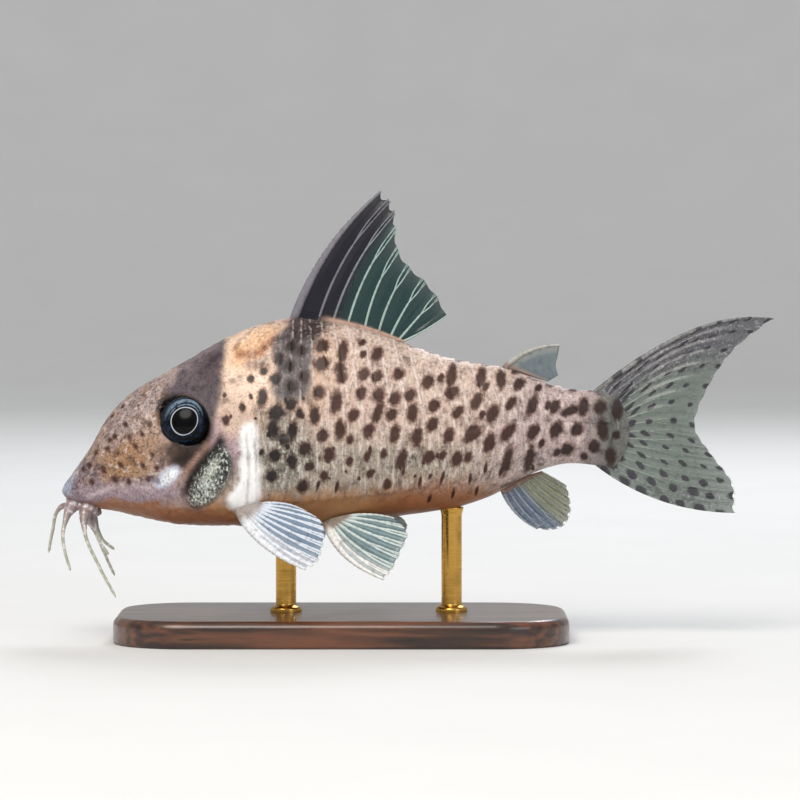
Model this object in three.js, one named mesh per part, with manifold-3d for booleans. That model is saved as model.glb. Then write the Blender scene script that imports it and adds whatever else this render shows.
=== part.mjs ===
// A spotted corydoras catfish, life size, held over a plain display base by two short rods.
// Millimetres, +Z up, snout towards -X, left flank towards -Y.
// The origin is the centre of the display base's underside.
// Inside the fish group x runs from the snout tip to the tail and z is the height above the belly.
import * as THREE from "three";
import { mergeVertices } from "three/addons/utils/BufferGeometryUtils.js";
import Module from "manifold-3d";

const wasm = await Module();
wasm.setup();

// Driving dimensions
const STANDARD_LENGTH = 50;
const BODY_DEPTH = 19.2;
const BODY_WIDTH = 13.2;
const GAP = 0.3;
const WEB_THICKNESS = 0.5;

// Body outlines as [share of the standard length, share of the body depth or half width]
const BACK_LINE = [
  [0, 0.182],
  [0.01, 0.215],
  [0.024, 0.266],
  [0.052, 0.372],
  [0.08, 0.5],
  [0.122, 0.625],
  [0.194, 0.74],
  [0.25, 0.823],
  [0.302, 0.9],
  [0.36, 0.963],
  [0.432, 1],
  [0.51, 0.974],
  [0.57, 0.938],
  [0.636, 0.875],
  [0.738, 0.792],
  [0.82, 0.757],
  [0.908, 0.677],
  [0.97, 0.645],
  [1.04, 0.648],
];
const BELLY_LINE = [
  [0, 0.146],
  [0.024, 0.104],
  [0.1, 0.068],
  [0.206, 0.01],
  [0.314, 0],
  [0.488, 0.006],
  [0.646, 0.05],
  [0.74, 0.09],
  [0.796, 0.14],
  [0.878, 0.255],
  [0.94, 0.297],
  [1.04, 0.27],
];
const SIDE_LINE = [
  [0, 0.13],
  [0.008, 0.25],
  [0.03, 0.37],
  [0.08, 0.485],
  [0.16, 0.68],
  [0.24, 0.85],
  [0.32, 0.97],
  [0.4, 1],
  [0.52, 0.94],
  [0.64, 0.79],
  [0.76, 0.59],
  [0.88, 0.38],
  [0.96, 0.25],
  [1.04, 0.14],
];
const WAIST_LINE = [
  [0, 0.45],
  [0.2, 0.38],
  [0.4, 0.36],
  [0.6, 0.4],
  [0.8, 0.47],
  [1.04, 0.5],
];
const BELLY_FULLNESS = [
  [0, 2.2],
  [0.3, 3],
  [0.6, 2.6],
  [0.85, 2.05],
  [1.04, 2],
];
const BACK_FULLNESS = 1.85;

// Head
const HEAD_END = 19.2;
const HEAD_SLANT = 1.4;
const HEAD_RINGS = 16;
const HEAD_COLUMNS = 40;
const EYE = { x: 11.45, z: 9.75, length: 5.2, height: 4.8, thickness: 3.6, sunk: 0.9 };
const EYE_RIM = { length: 5.45, height: 5.05, tube: 0.36, sunk: 0.3 };
const GILL_COVER = { x: 14.35, z: 4.75, depth: 1.5, rise: 0.22 };
// The gill cover's edge as [x, z], from its top corner down its rear edge and up its front one
const GILL_COVER_EDGE = [
  [14.95, 7.85],
  [16, 6.5],
  [16.35, 5.1],
  [15.85, 3.5],
  [14.7, 2.2],
  [13.3, 1.8],
  [12.2, 2.3],
  [12.25, 3.7],
  [13.1, 5.6],
  [14, 6.95],
];
const MOUTH = { x: 1.75, z: 1.35, length: 2.6, width: 2.8, lip: 0.62, tilt: 0.42 };
const NOSTRIL = { x: 4.75, side: 1.35, radius: 0.42, wall: 0.17, spacing: 0.95 };

// Armour
const SCUTE_COUNT = 22;
const SCUTES_ON_TRUNK = 14;
const SCUTE_RISE = 0.26;
const SCUTE_STEPS = [
  [0.05, 0],
  [0.5, 0.75],
  [0.94, 1],
];
const SCUTES_END = 51.2;
const LAST_BOW = 1.9;
const MIDLINE = 10;
// Columns down one flank as [angle in degrees above the widest level, share of the scute rise, row]
const FLANK_COLUMNS = [
  [90, 0.15, 0],
  [79, 0.9, 0],
  [67, 1, 0],
  [55, 1, 0],
  [43, 1, 0],
  [32, 1, 0],
  [22, 1, 0],
  [MIDLINE + 3, 0.85, 0],
  [MIDLINE, -0.35, 0.5],
  [MIDLINE - 3, 0.85, 1],
  [-2, 1, 1],
  [-12, 1, 1],
  [-22, 1, 1],
  [-31, 0.9, 1],
  [-36, 0, 1],
  [-52, 0, 1],
  [-70, 0, 1],
  [-90, 0, 1],
];

// Display base
const BASE = { length: 42, width: 23, height: 2.5, corner: 7, bevel: 0.5 };
const BELLY_HEIGHT = 10.6;
const FISH_BACK = 26;
const ROD = { diameter: 1.9, stations: [20.8, 36.2], sides: 20 };

const SIDES = [
  ["left", -1],
  ["right", 1],
];

const vec = (x, y, z) => new THREE.Vector3(x, y, z);
const flip = (point, side) => vec(point[0], point[1] * side, point[2]);

// A smooth curve through [share of length, value] rows, as a function of x in millimetres
function profile(rows, scale) {
  const places = rows.map(([share]) => share * STANDARD_LENGTH);
  const values = rows.map(([, value]) => value * scale);
  const curve = new THREE.CubicInterpolant(places, values, 1);
  return (x) => curve.evaluate(x)[0];
}

const backHeight = profile(BACK_LINE, BODY_DEPTH);
const bellyHeight = profile(BELLY_LINE, BODY_DEPTH);
const halfWidth = profile(SIDE_LINE, BODY_WIDTH / 2);
const waistShare = profile(WAIST_LINE, 1);
const bellyFullness = profile(BELLY_FULLNESS, 1);

// The skin at a distance x from the snout, at an angle above the widest level, raised by lift
function skinPoint(x, angle, lift = 0) {
  const top = backHeight(x);
  const bottom = bellyHeight(x);
  const half = halfWidth(x);
  const waist = bottom + waistShare(x) * (top - bottom);
  const upper = Math.sin(angle) >= 0;
  const reach = upper ? top - waist : waist - bottom;
  const fullness = upper ? BACK_FULLNESS : bellyFullness(x);
  const across = Math.sign(Math.cos(angle)) * Math.abs(Math.cos(angle)) ** (2 / fullness);
  const up = Math.sign(Math.sin(angle)) * Math.abs(Math.sin(angle)) ** (2 / fullness);
  const slopeY = (Math.sign(across) * Math.abs(across) ** (fullness - 1)) / half;
  const slopeZ = (Math.sign(up) * Math.abs(up) ** (fullness - 1)) / reach;
  const steepness = Math.hypot(slopeY, slopeZ);
  return vec(
    x,
    half * across + (lift * slopeY) / steepness,
    waist + reach * up + (lift * slopeZ) / steepness,
  );
}

// The half width of the body at a height z, for placing what grows from the flank
function flankAt(x, z) {
  const top = backHeight(x);
  const bottom = bellyHeight(x);
  const waist = bottom + waistShare(x) * (top - bottom);
  const reach = z > waist ? top - waist : waist - bottom;
  const fullness = z > waist ? BACK_FULLNESS : bellyFullness(x);
  const share = Math.min(1, Math.abs(z - waist) / reach);
  return halfWidth(x) * (1 - share ** fullness) ** (1 / fullness);
}

// The height of the back at a distance y from the middle, for placing what grows from above
function backAt(x, y) {
  const bottom = bellyHeight(x);
  const waist = bottom + waistShare(x) * (backHeight(x) - bottom);
  const share = Math.min(1, y / halfWidth(x));
  return waist + (backHeight(x) - waist) * (1 - share ** BACK_FULLNESS) ** (1 / BACK_FULLNESS);
}

// How fast a function of two distances grows with each of them
function slopes(surface, u, v) {
  const step = 0.2;
  const grow = (from, to) => (to - from) / (2 * step);
  return [
    grow(surface(u - step, v), surface(u + step, v)),
    grow(surface(u, v - step), surface(u, v + step)),
  ];
}

// The turn that points a piece's own +Z along a direction
const facing = (direction) => new THREE.Quaternion().setFromUnitVectors(vec(0, 0, 1), direction);
const turned = (x, y, z) => new THREE.Quaternion().setFromEuler(new THREE.Euler(x, y, z));
const UNTURNED = new THREE.Quaternion();

function geometryOf(points, triangles) {
  const places = points.flatMap((p) => [p.x, p.y, p.z]);
  const geometry = new THREE.BufferGeometry();
  geometry.setAttribute("position", new THREE.Float32BufferAttribute(places, 3));
  geometry.setIndex(triangles);
  return geometry;
}

// Strips from side to side that close a ring whose second half mirrors its first
function strips(first, count, forwards) {
  const triangles = [];
  for (let i = 0; i < count / 2; i++) {
    const a = first + i;
    const b = a + 1;
    const c = first + ((count - i) % count);
    const d = first + count - i - 1;
    if (i > 0) triangles.push(...(forwards ? [b, a, c] : [a, b, c]));
    if (i < count / 2 - 1) triangles.push(...(forwards ? [b, c, d] : [b, d, c]));
  }
  return triangles;
}

// A closed skin over rings of equal count, with a fan of triangles or mirrored strips at each end
function loft(rings, mirrored = false) {
  const count = rings[0].length;
  const points = rings.flat();
  const triangles = [];
  for (let r = 0; r + 1 < rings.length; r++) {
    for (let i = 0; i < count; i++) {
      const a = r * count + i;
      const b = r * count + ((i + 1) % count);
      triangles.push(a, b, b + count, a, b + count, a + count);
    }
  }
  const last = (rings.length - 1) * count;
  if (mirrored) {
    triangles.push(...strips(0, count, true), ...strips(last, count, false));
    return geometryOf(points, triangles);
  }
  const centre = (ring) => ring.reduce((sum, p) => sum.add(p), vec(0, 0, 0)).divideScalar(count);
  const front = points.push(centre(rings[0])) - 1;
  const rear = points.push(centre(rings[rings.length - 1])) - 1;
  for (let i = 0; i < count; i++) {
    const next = (i + 1) % count;
    triangles.push(front, next, i, rear, last + i, last + next);
  }
  return geometryOf(points, triangles);
}

// A manifold solid of a closed geometry, turned outwards if its faces point in
function solidOf(geometry) {
  const bare = geometry.clone();
  bare.deleteAttribute("normal");
  bare.deleteAttribute("uv");
  const merged = mergeVertices(bare, 1e-4);
  const build = (triVerts) =>
    new wasm.Manifold(
      new wasm.Mesh({
        numProp: 3,
        vertProperties: new Float32Array(merged.attributes.position.array),
        triVerts,
      }),
    );
  const solid = build(new Uint32Array(merged.index.array));
  return solid.volume() < 0 ? build(new Uint32Array(merged.index.array).reverse()) : solid;
}

// The largest closed surface of a solid, as a geometry
function geometryOfSolid(solid) {
  const bodies = solid.decompose();
  const largest = bodies.reduce((best, body) => (body.volume() > best.volume() ? body : best));
  const mesh = largest.getMesh();
  const geometry = new THREE.BufferGeometry();
  geometry.setAttribute("position", new THREE.BufferAttribute(mesh.vertProperties, 3));
  geometry.setIndex(new THREE.BufferAttribute(mesh.triVerts, 1));
  return geometry;
}

function placed(geometry, position, turn = UNTURNED, scale = [1, 1, 1]) {
  return geometry.clone().applyMatrix4(new THREE.Matrix4().compose(position, turn, vec(...scale)));
}

const finish = (color, roughness, metalness = 0) =>
  new THREE.MeshStandardMaterial({ color, roughness, metalness, flatShading: false });

const materials = {
  snout: finish(0xa58a78, 0.45),
  gillCover: finish(0x9aa59a, 0.3, 0.2),
  flank: finish(0xc9ab99, 0.42),
  fin: finish(0x9fb0b0, 0.4),
  eye: finish(0x141a26, 0.08),
  barbel: finish(0xb9b59c, 0.5),
  wood: finish(0x3b2418, 0.35),
  brass: finish(0xb08d4c, 0.28, 1),
};

const fish = new THREE.Group();
fish.position.set(-FISH_BACK, 0, BELLY_HEIGHT);
const model = new THREE.Group();
model.add(fish);

function add(name, geometry, material, group = fish) {
  const mesh = new THREE.Mesh(geometry, material);
  mesh.name = name;
  geometry.computeVertexNormals();
  group.add(mesh);
}

// Head: a lofted skull with eye sockets, gill pockets, lips round the mouth, and nostrils
function headSurface(lift, end) {
  const rings = [];
  for (let r = 0; r <= HEAD_RINGS; r++) {
    const along = (r / HEAD_RINGS) ** 1.45;
    const ring = [];
    for (let c = 0; c < HEAD_COLUMNS; c++) {
      const angle = Math.PI / 2 - (c / HEAD_COLUMNS) * 2 * Math.PI;
      const last = HEAD_END + HEAD_SLANT * Math.sin(angle) - end;
      ring.push(skinPoint(last * along, angle, lift));
    }
    rings.push(ring);
  }
  return solidOf(loft(rings, true));
}

function flankNormal(x, z, side) {
  const [alongX, alongZ] = slopes(flankAt, x, z);
  return vec(-alongX, side, -alongZ).normalize();
}

// A piece set into the flank where the eye is, its own +Z pointing out
function atEye(geometry, side, sunk, size) {
  const normal = flankNormal(EYE.x, EYE.z, side);
  const place = vec(EYE.x, side * flankAt(EYE.x, EYE.z), EYE.z).addScaledVector(normal, -sunk);
  return placed(geometry, place, facing(normal), size);
}

function eyeball(side, clearance) {
  const size = [EYE.length, EYE.height, EYE.thickness].map((length) => length + 2 * clearance);
  return atEye(new THREE.SphereGeometry(0.5, 18, 12), side, EYE.sunk, size);
}

function eyeRim(side) {
  const { length, height, tube, sunk } = EYE_RIM;
  const ring = new THREE.TorusGeometry(0.5, tube / length, 6, 26);
  return atEye(ring, side, sunk, [length, height, length]);
}

// The gill cover's outline, pushed through the flank from its inner face outwards
function gillCoverBlock(side, clearance) {
  const { x, z, depth } = GILL_COVER;
  const corners = GILL_COVER_EDGE.map(([alongX, alongZ]) => vec(alongX, alongZ, 0));
  const edge = new THREE.CatmullRomCurve3(corners, true).getSpacedPoints(30).slice(0, -1);
  const grown = edge.map((point, i) => {
    const along = edge[(i + 1) % edge.length].clone().sub(edge.at(i - 1)).normalize();
    return new THREE.Vector2(point.x - along.y * clearance, point.y + along.x * clearance);
  });
  const inner = flankAt(x, z) - depth - clearance;
  const block = new THREE.ExtrudeGeometry(new THREE.Shape(grown), { depth: BODY_WIDTH, bevelEnabled: false });
  const middle = vec(0, side * (inner + BODY_WIDTH / 2), 0);
  return solidOf(placed(block.translate(0, 0, -BODY_WIDTH / 2), middle, turned(Math.PI / 2, 0, 0)));
}

// Lips: a ring of flesh that faces down and forwards under the snout, with the mouth's slit in it
const mouthPlace = vec(MOUTH.x, 0, MOUTH.z);
const mouthSize = [MOUTH.length / 2, MOUTH.width / 2, 1];
const mouthTurn = turned(0, MOUTH.tilt, 0);

function lips() {
  const ring = new THREE.TorusGeometry(1, MOUTH.lip, 8, 22);
  return solidOf(placed(ring, mouthPlace, mouthTurn, mouthSize));
}

function mouthLine() {
  const slit = new THREE.SphereGeometry(0.5, 14, 8);
  const size = [MOUTH.length * 0.36, MOUTH.width * 0.8, 2.4];
  return solidOf(placed(slit, mouthPlace, mouthTurn, size));
}

// A point that stands off the lips by a lift, at an angle round them and an angle down their side
function offLips(round, down, side, lift) {
  const [turn, dip] = [THREE.MathUtils.degToRad(round), THREE.MathUtils.degToRad(down)];
  const reach = 1 + MOUTH.lip * Math.cos(dip);
  const size = vec(...mouthSize);
  const flat = vec(Math.cos(turn), Math.sin(turn), 0);
  const seat = flat.clone().multiplyScalar(reach).add(vec(0, 0, -MOUTH.lip * Math.sin(dip)));
  const normal = flat.multiplyScalar(Math.cos(dip)).add(vec(0, 0, -Math.sin(dip))).divide(size);
  const point = seat.multiply(size).addScaledVector(normal.normalize(), lift);
  point.applyQuaternion(mouthTurn).add(mouthPlace);
  return vec(point.x, point.y * side, point.z);
}

// A round piece seated on the snout at a distance from the first nostril, turned with the slope there
function onSnout(geometry, side, offset, size = [1, 1, 1]) {
  const x = NOSTRIL.x + offset;
  const [alongX, alongY] = slopes(backAt, x, NOSTRIL.side);
  const normal = vec(-alongX, -side * alongY, 1).normalize();
  const place = vec(x, side * NOSTRIL.side, backAt(x, NOSTRIL.side));
  return solidOf(placed(geometry, place, facing(normal), size));
}

function buildHead() {
  const { radius, wall, spacing } = NOSTRIL;
  const rim = new THREE.TorusGeometry(radius, wall, 6, 12);
  const pit = new THREE.SphereGeometry(radius - 0.04, 10, 6);
  const raised = [lips()];
  const cut = [mouthLine()];
  for (const [, side] of SIDES) {
    raised.push(solidOf(eyeRim(side)), onSnout(rim, side, 0));
    raised.push(onSnout(new THREE.SphereGeometry(0.5, 8, 6), side, spacing / 2, [0.45, 1, 1]));
    cut.push(solidOf(eyeball(side, GAP)), gillCoverBlock(side, GAP));
    cut.push(onSnout(pit, side, 0), onSnout(pit, side, spacing));
  }
  const skull = wasm.Manifold.union([headSurface(0, GAP), ...raised]);
  add("head", geometryOfSolid(skull.subtract(wasm.Manifold.union(cut))), materials.snout);
}

function buildGillCover(name, side) {
  const socket = solidOf(eyeball(side, GAP));
  const plate = headSurface(GILL_COVER.rise, GAP).intersect(gillCoverBlock(side, 0)).subtract(socket);
  add("gill_cover_" + name, geometryOfSolid(plate), materials.gillCover);
}

// Armour: where the ring of scute number k crosses a column of the body
function scuteStation(k, angle, row) {
  const pitch = (SCUTES_END - HEAD_END) / SCUTE_COUNT;
  const nearHead = 1 - THREE.MathUtils.smoothstep(k, 0, 6);
  const nearTail = THREE.MathUtils.smoothstep(k, 0, SCUTE_COUNT);
  const sine = Math.sin(angle);
  const stagger = 0.5 * row * Math.min(1, k, SCUTE_COUNT - k);
  const bow = THREE.MathUtils.smoothstep(k, 0, 3) * THREE.MathUtils.lerp(1.1, LAST_BOW, nearTail);
  return HEAD_END + pitch * (k - stagger) + HEAD_SLANT * nearHead * sine - bow * sine * sine;
}

function armourRing(k, rise, shift = 0) {
  const ring = [];
  const inner = FLANK_COLUMNS.slice(1, -1).reverse();
  const around = [
    ...FLANK_COLUMNS.map(([degrees, share, row]) => [degrees, share, row]),
    ...inner.map(([degrees, share, row]) => [180 - degrees, share, row]),
  ];
  for (const [degrees, share, row] of around) {
    const angle = THREE.MathUtils.degToRad(degrees);
    ring.push(skinPoint(scuteStation(k, angle, row) + shift, angle, rise * share * SCUTE_RISE));
  }
  return ring;
}

function armour(first, last, frontShift, rearShift) {
  const rings = [armourRing(first, 0, frontShift)];
  for (let scute = first; scute < last; scute++) {
    for (const [step, rise] of SCUTE_STEPS) {
      const start = scute === first ? 0.3 + 0.7 * step : step;
      rings.push(armourRing(scute + start, rise));
    }
  }
  rings.push(armourRing(last, 0, rearShift));
  return loft(rings, true);
}

// Fins: a thin web with tapering rays as ridges on both faces.
// roots and edge are points from the leading ray to the last one, bows push the middle of a ray out.
function finSurface({ roots, edge, rays, bows, rows, ridge, spine, spread = 0.2 }) {
  const rootLine = new THREE.CatmullRomCurve3(roots);
  const edgeLine = new THREE.CatmullRomCurve3(edge);
  const across = rootLine.getPoint(1).sub(rootLine.getPoint(0));
  const outwards = edgeLine.getPoint(0).sub(rootLine.getPoint(0));
  const normal = across.clone().add(edgeLine.getPoint(1).sub(edgeLine.getPoint(0))).cross(outwards);
  normal.normalize();
  const columns = [];
  for (let ray = 0; ray < rays; ray++) {
    if (ray > 0) columns.push([ray, -1]);
    columns.push([ray, 0]);
    if (ray < rays - 1) columns.push([ray, 1]);
  }
  const faces = [[], []];
  for (const [ray, edgeSide] of columns) {
    for (let row = 0; row <= rows; row++) {
      const out = row / rows;
      const beside = spread * (1.2 - 0.5 * out) * edgeSide;
      const place = (ray + beside) / (rays - 1);
      const web = rootLine.getPoint(place).lerp(edgeLine.getPoint(place), out);
      const bow = bows[0].clone().lerp(bows[1], place).multiplyScalar(4 * out * (1 - out));
      web.add(bow);
      if (edgeSide !== 0 && row === rows) {
        web.lerp(rootLine.getPoint(place), 0.03);
      }
      const crest = (ray === 0 ? spine : ridge) * (1 - 0.85 * out);
      const half = (WEB_THICKNESS + (edgeSide === 0 ? crest : 0)) / 2;
      faces[0].push(web.clone().addScaledVector(normal, half));
      faces[1].push(web.clone().addScaledVector(normal, -half));
    }
  }
  return { faces, columns: columns.length, rows };
}

// Both faces split alike, with a rim of quads all round
function finGeometry(spec) {
  const { faces, columns, rows } = finSurface(spec);
  const stride = rows + 1;
  const back = faces[0].length;
  const triangles = [];
  for (let c = 0; c + 1 < columns; c++) {
    for (let r = 0; r < rows; r++) {
      const a = c * stride + r;
      const b = a + stride;
      triangles.push(a, b, b + 1, a, b + 1, a + 1);
      triangles.push(back + a, back + b + 1, back + b, back + a, back + a + 1, back + b + 1);
    }
  }
  const rim = [];
  for (let c = 0; c < columns; c++) rim.push(c * stride);
  for (let r = 1; r < stride; r++) rim.push((columns - 1) * stride + r);
  for (let c = columns - 2; c >= 0; c--) rim.push(c * stride + rows);
  for (let r = rows - 1; r > 0; r--) rim.push(r);
  rim.forEach((a, i) => {
    const b = rim[(i + 1) % rim.length];
    triangles.push(a, back + a, back + b, a, back + b, b);
  });
  return geometryOfSolid(solidOf(geometryOf(faces.flat(), triangles)));
}

const onBack = (x) => vec(x, 0, backHeight(x) + GAP);
const onVent = (x) => vec(x, 0, bellyHeight(x) - GAP);

// The end of the tail stalk at a height from 1 at its top to -1 at its bottom, seen from the side
function stalkEnd(height) {
  const x = SCUTES_END - LAST_BOW * height ** 2 + GAP;
  const top = backHeight(49.3);
  const bottom = bellyHeight(49.3);
  return vec(x, 0, (top + bottom) / 2 + (height * (top - bottom)) / 2);
}

const finSpecs = {
  dorsal_fin: {
    roots: [onBack(21.7), onBack(24), onBack(26.4), onBack(29), onBack(31.8)],
    edge: [
      vec(29.7, 0, 31),
      vec(30.5, 0, 30.2),
      vec(31, 0, 29.1),
      vec(31.1, 0, 27.6),
      vec(31.3, 0, 25.7),
      vec(32.3, 0, 24.1),
      vec(33.7, 0, 22.8),
      vec(34.9, 0, 21.3),
      vec(35.8, 0, 19.5),
    ],
    rays: 9,
    bows: [vec(-0.75, 0, 0.55), vec(0, 0, -0.15)],
    rows: 6,
    ridge: 0.42,
    spine: 0.75,
  },
  adipose_fin: {
    roots: [onBack(41.3), onBack(42.6), onBack(43.9), onBack(45.2)],
    edge: [vec(46.3, 0, 16.7), vec(46.1, 0, 15.7), vec(45.9, 0, 14.8), vec(46.1, 0, 13.9)],
    rays: 3,
    bows: [vec(-0.35, 0, 0.45), vec(0, 0, 0)],
    rows: 4,
    ridge: 0.1,
    spine: 0.5,
  },
  anal_fin: {
    roots: [onVent(41), onVent(42.2), onVent(43.4), onVent(44.6)],
    edge: [
      vec(44.2, 0, -0.4),
      vec(45.6, 0, -0.5),
      vec(46.7, 0, -0.1),
      vec(47.3, 0, 1.1),
      vec(47.2, 0, 2.5),
      vec(46.9, 0, 3.6),
    ],
    rays: 7,
    bows: [vec(-0.3, 0, -0.3), vec(0.1, 0, 0)],
    rows: 5,
    ridge: 0.3,
    spine: 0.4,
  },
  caudal_fin: {
    roots: [stalkEnd(1), stalkEnd(0.5), stalkEnd(0), stalkEnd(-0.5), stalkEnd(-1)],
    edge: [
      vec(66.2, 0.5, 19.1),
      vec(62.6, 0.42, 16.3),
      vec(60.2, 0.35, 12.9),
      vec(58.9, 0.3, 9.1),
      vec(60.5, 0.32, 6.5),
      vec(62.5, 0.38, 3.8),
      vec(62.7, 0.4, 1.1),
    ],
    rays: 17,
    bows: [vec(0.7, 0, 2.3), vec(-0.4, 0, -1.1)],
    rows: 7,
    ridge: 0.36,
    spine: 0.6,
  },
};

// Paired fins are given for the right side and mirrored
const PECTORAL = {
  roots: [
    [16.8, 0, 1.5],
    [17.6, 0, 1.9],
    [18.4, 0, 2.2],
  ],
  edge: [
    [23, 13.2, -3.4],
    [24, 12.8, -2.7],
    [24.4, 11.8, -1.4],
    [24.6, 10.6, -0.2],
    [24.2, 9.4, 0.9],
    [22.9, 8.3, 1.7],
  ],
  bows: [
    [-0.9, 0.3, -0.75],
    [0, 0.1, 0.45],
  ],
  rays: 9,
  rows: 5,
  ridge: 0.34,
  spine: 0.8,
};
const PELVIC = {
  roots: [
    [24.7, 0, 0.4],
    [25.5, 0, 0.7],
    [26.4, 0, 1],
  ],
  edge: [
    [30, 7.9, -4.5],
    [30.7, 7.6, -3.6],
    [31.5, 7, -1.9],
    [32.1, 6.2, -0.4],
    [30.9, 5.4, 0.9],
  ],
  bows: [
    [-1.1, 0.1, -0.75],
    [0.1, 0, 0.3],
  ],
  rays: 7,
  rows: 5,
  ridge: 0.34,
  spine: 0.5,
};

// A paired fin's root, set out from the flank by the gap and half of the web
const onFlank = (point, side) => {
  const [x, , z] = point;
  return vec(x, side * (flankAt(x, z) + GAP + 0.2), z);
};

function pairedFin({ roots, edge, bows, ...shape }, side) {
  return finGeometry({
    roots: roots.map((point) => onFlank(point, side)),
    edge: edge.map((point) => flip(point, side)),
    bows: bows.map((bow) => flip(bow, side)),
    ...shape,
  });
}

// A feeler: a tapered tube that leaves the lips square to their surface
function barbel({ side, root, path }) {
  const [round, down] = root;
  const leaving = [GAP, GAP + 0.7].map((lift) => offLips(round, down, side, lift));
  const line = new THREE.CatmullRomCurve3([...leaving, ...path.map((point) => flip(point, side))]);
  const steps = 10;
  const corners = 8;
  const frames = line.computeFrenetFrames(steps, false);
  const rings = [];
  for (let step = 0; step <= steps; step++) {
    const along = step / steps;
    const radius = 0.4 - 0.1 * along - 0.15 * along ** 8;
    const centre = line.getPointAt(along);
    const ring = [];
    for (let c = 0; c < corners; c++) {
      const turn = (c / corners) * 2 * Math.PI;
      const spoke = frames.normals[step].clone().multiplyScalar(radius * Math.cos(turn));
      spoke.addScaledVector(frames.binormals[step], radius * Math.sin(turn));
      ring.push(centre.clone().add(spoke));
    }
    rings.push(ring);
  }
  return geometryOfSolid(solidOf(loft(rings)));
}

// Roots as [degrees round the lips from the rear, degrees down their side].
// Paths as [x, distance from the middle, z], from below the root to the tip.
const BARBELS = {
  maxillary_barbel_left: {
    side: -1,
    root: [125, 30],
    path: [
      [0.35, 3.05, -0.7],
      [0.45, 3.2, -2.1],
      [1, 3.1, -4.1],
    ],
  },
  maxillary_barbel_right: {
    side: 1,
    root: [125, 10],
    path: [
      [-0.85, 3, 0.7],
      [-1.15, 3.3, -0.7],
      [-1.6, 3.7, -2.9],
    ],
  },
  rictal_barbel_left: {
    side: -1,
    root: [72, 35],
    path: [
      [2.35, 3.15, -1.1],
      [3.7, 3.5, -3.7],
      [5.2, 3.8, -6.5],
    ],
  },
  rictal_barbel_right: {
    side: 1,
    root: [72, 35],
    path: [
      [2.85, 3.05, -0.9],
      [3.6, 3.1, -2.6],
      [4.7, 3, -5],
    ],
  },
  chin_barbel_left: {
    side: -1,
    root: [22, 50],
    path: [
      [3.6, 1.05, -1.6],
      [4.4, 1.1, -2.7],
    ],
  },
  chin_barbel_right: {
    side: 1,
    root: [22, 50],
    path: [
      [3.75, 1, -1.5],
      [4.8, 1.15, -2.4],
    ],
  },
};

function buildFins() {
  for (const [name, spec] of Object.entries(finSpecs)) {
    add(name, finGeometry(spec), materials.fin);
  }
  for (const [name, side] of SIDES) {
    add("pectoral_fin_" + name, pairedFin(PECTORAL, side), materials.fin);
    add("pelvic_fin_" + name, pairedFin(PELVIC, side), materials.fin);
  }
}

function buildStand() {
  const { length, width, height, corner, bevel } = BASE;
  const outline = new THREE.Shape();
  const x = length / 2 - bevel;
  const y = width / 2 - bevel;
  outline.moveTo(corner - x, -y);
  outline.lineTo(x - corner, -y);
  outline.absarc(x - corner, corner - y, corner, -Math.PI / 2, 0);
  outline.absarc(x - corner, y - corner, corner, 0, Math.PI / 2);
  outline.absarc(corner - x, y - corner, corner, Math.PI / 2, Math.PI);
  outline.absarc(corner - x, corner - y, corner, Math.PI, 1.5 * Math.PI);
  const plate = new THREE.ExtrudeGeometry(outline, {
    depth: height - 2 * bevel,
    bevelThickness: bevel,
    bevelSize: bevel,
    bevelSegments: 2,
    curveSegments: 6,
  });
  const board = geometryOfSolid(solidOf(plate.translate(0, 0, bevel)));
  add("stand_base", board, materials.wood, model);
  ROD.stations.forEach((station, i) => {
    const top = BELLY_HEIGHT + bellyHeight(station) - GAP - 0.05 * i;
    const bottom = height + GAP;
    const rod = new THREE.CylinderGeometry(ROD.diameter / 2, ROD.diameter / 2, top - bottom, ROD.sides);
    const place = vec(station - FISH_BACK, 0, (top + bottom) / 2);
    const name = i === 0 ? "stand_rod_front" : "stand_rod_back";
    add(name, placed(rod, place, turned(Math.PI / 2, 0, 0)), materials.brass, model);
  });
}

buildHead();
for (const [name, side] of SIDES) {
  buildGillCover(name, side);
  add("eye_" + name, geometryOfSolid(solidOf(eyeball(side, 0))), materials.eye);
}
add("trunk", geometryOfSolid(solidOf(armour(0, SCUTES_ON_TRUNK, 0, -GAP / 2))), materials.flank);
add(
  "tail_stalk",
  geometryOfSolid(solidOf(armour(SCUTES_ON_TRUNK, SCUTE_COUNT, GAP / 2, 0))),
  materials.flank,
);
buildFins();
for (const [name, spec] of Object.entries(BARBELS)) {
  add(name, barbel(spec), materials.barbel);
}
buildStand();

export default model;
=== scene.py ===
"""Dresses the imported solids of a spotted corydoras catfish, a life-size still model.

The fish is held over a small dark base by two brass rods. Its own sizes are in millimetres:
x from the tip of the snout towards the tail, y from the middle plane towards the right flank,
z up from the lowest point of the belly. Finished meshes are in metres in the model's frame.
"""

import logging
import math
import random
from dataclasses import dataclass, field
from enum import Enum
from typing import Callable

import bmesh
import bpy
import numpy as np
from mathutils import Matrix, Vector, noise


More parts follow.
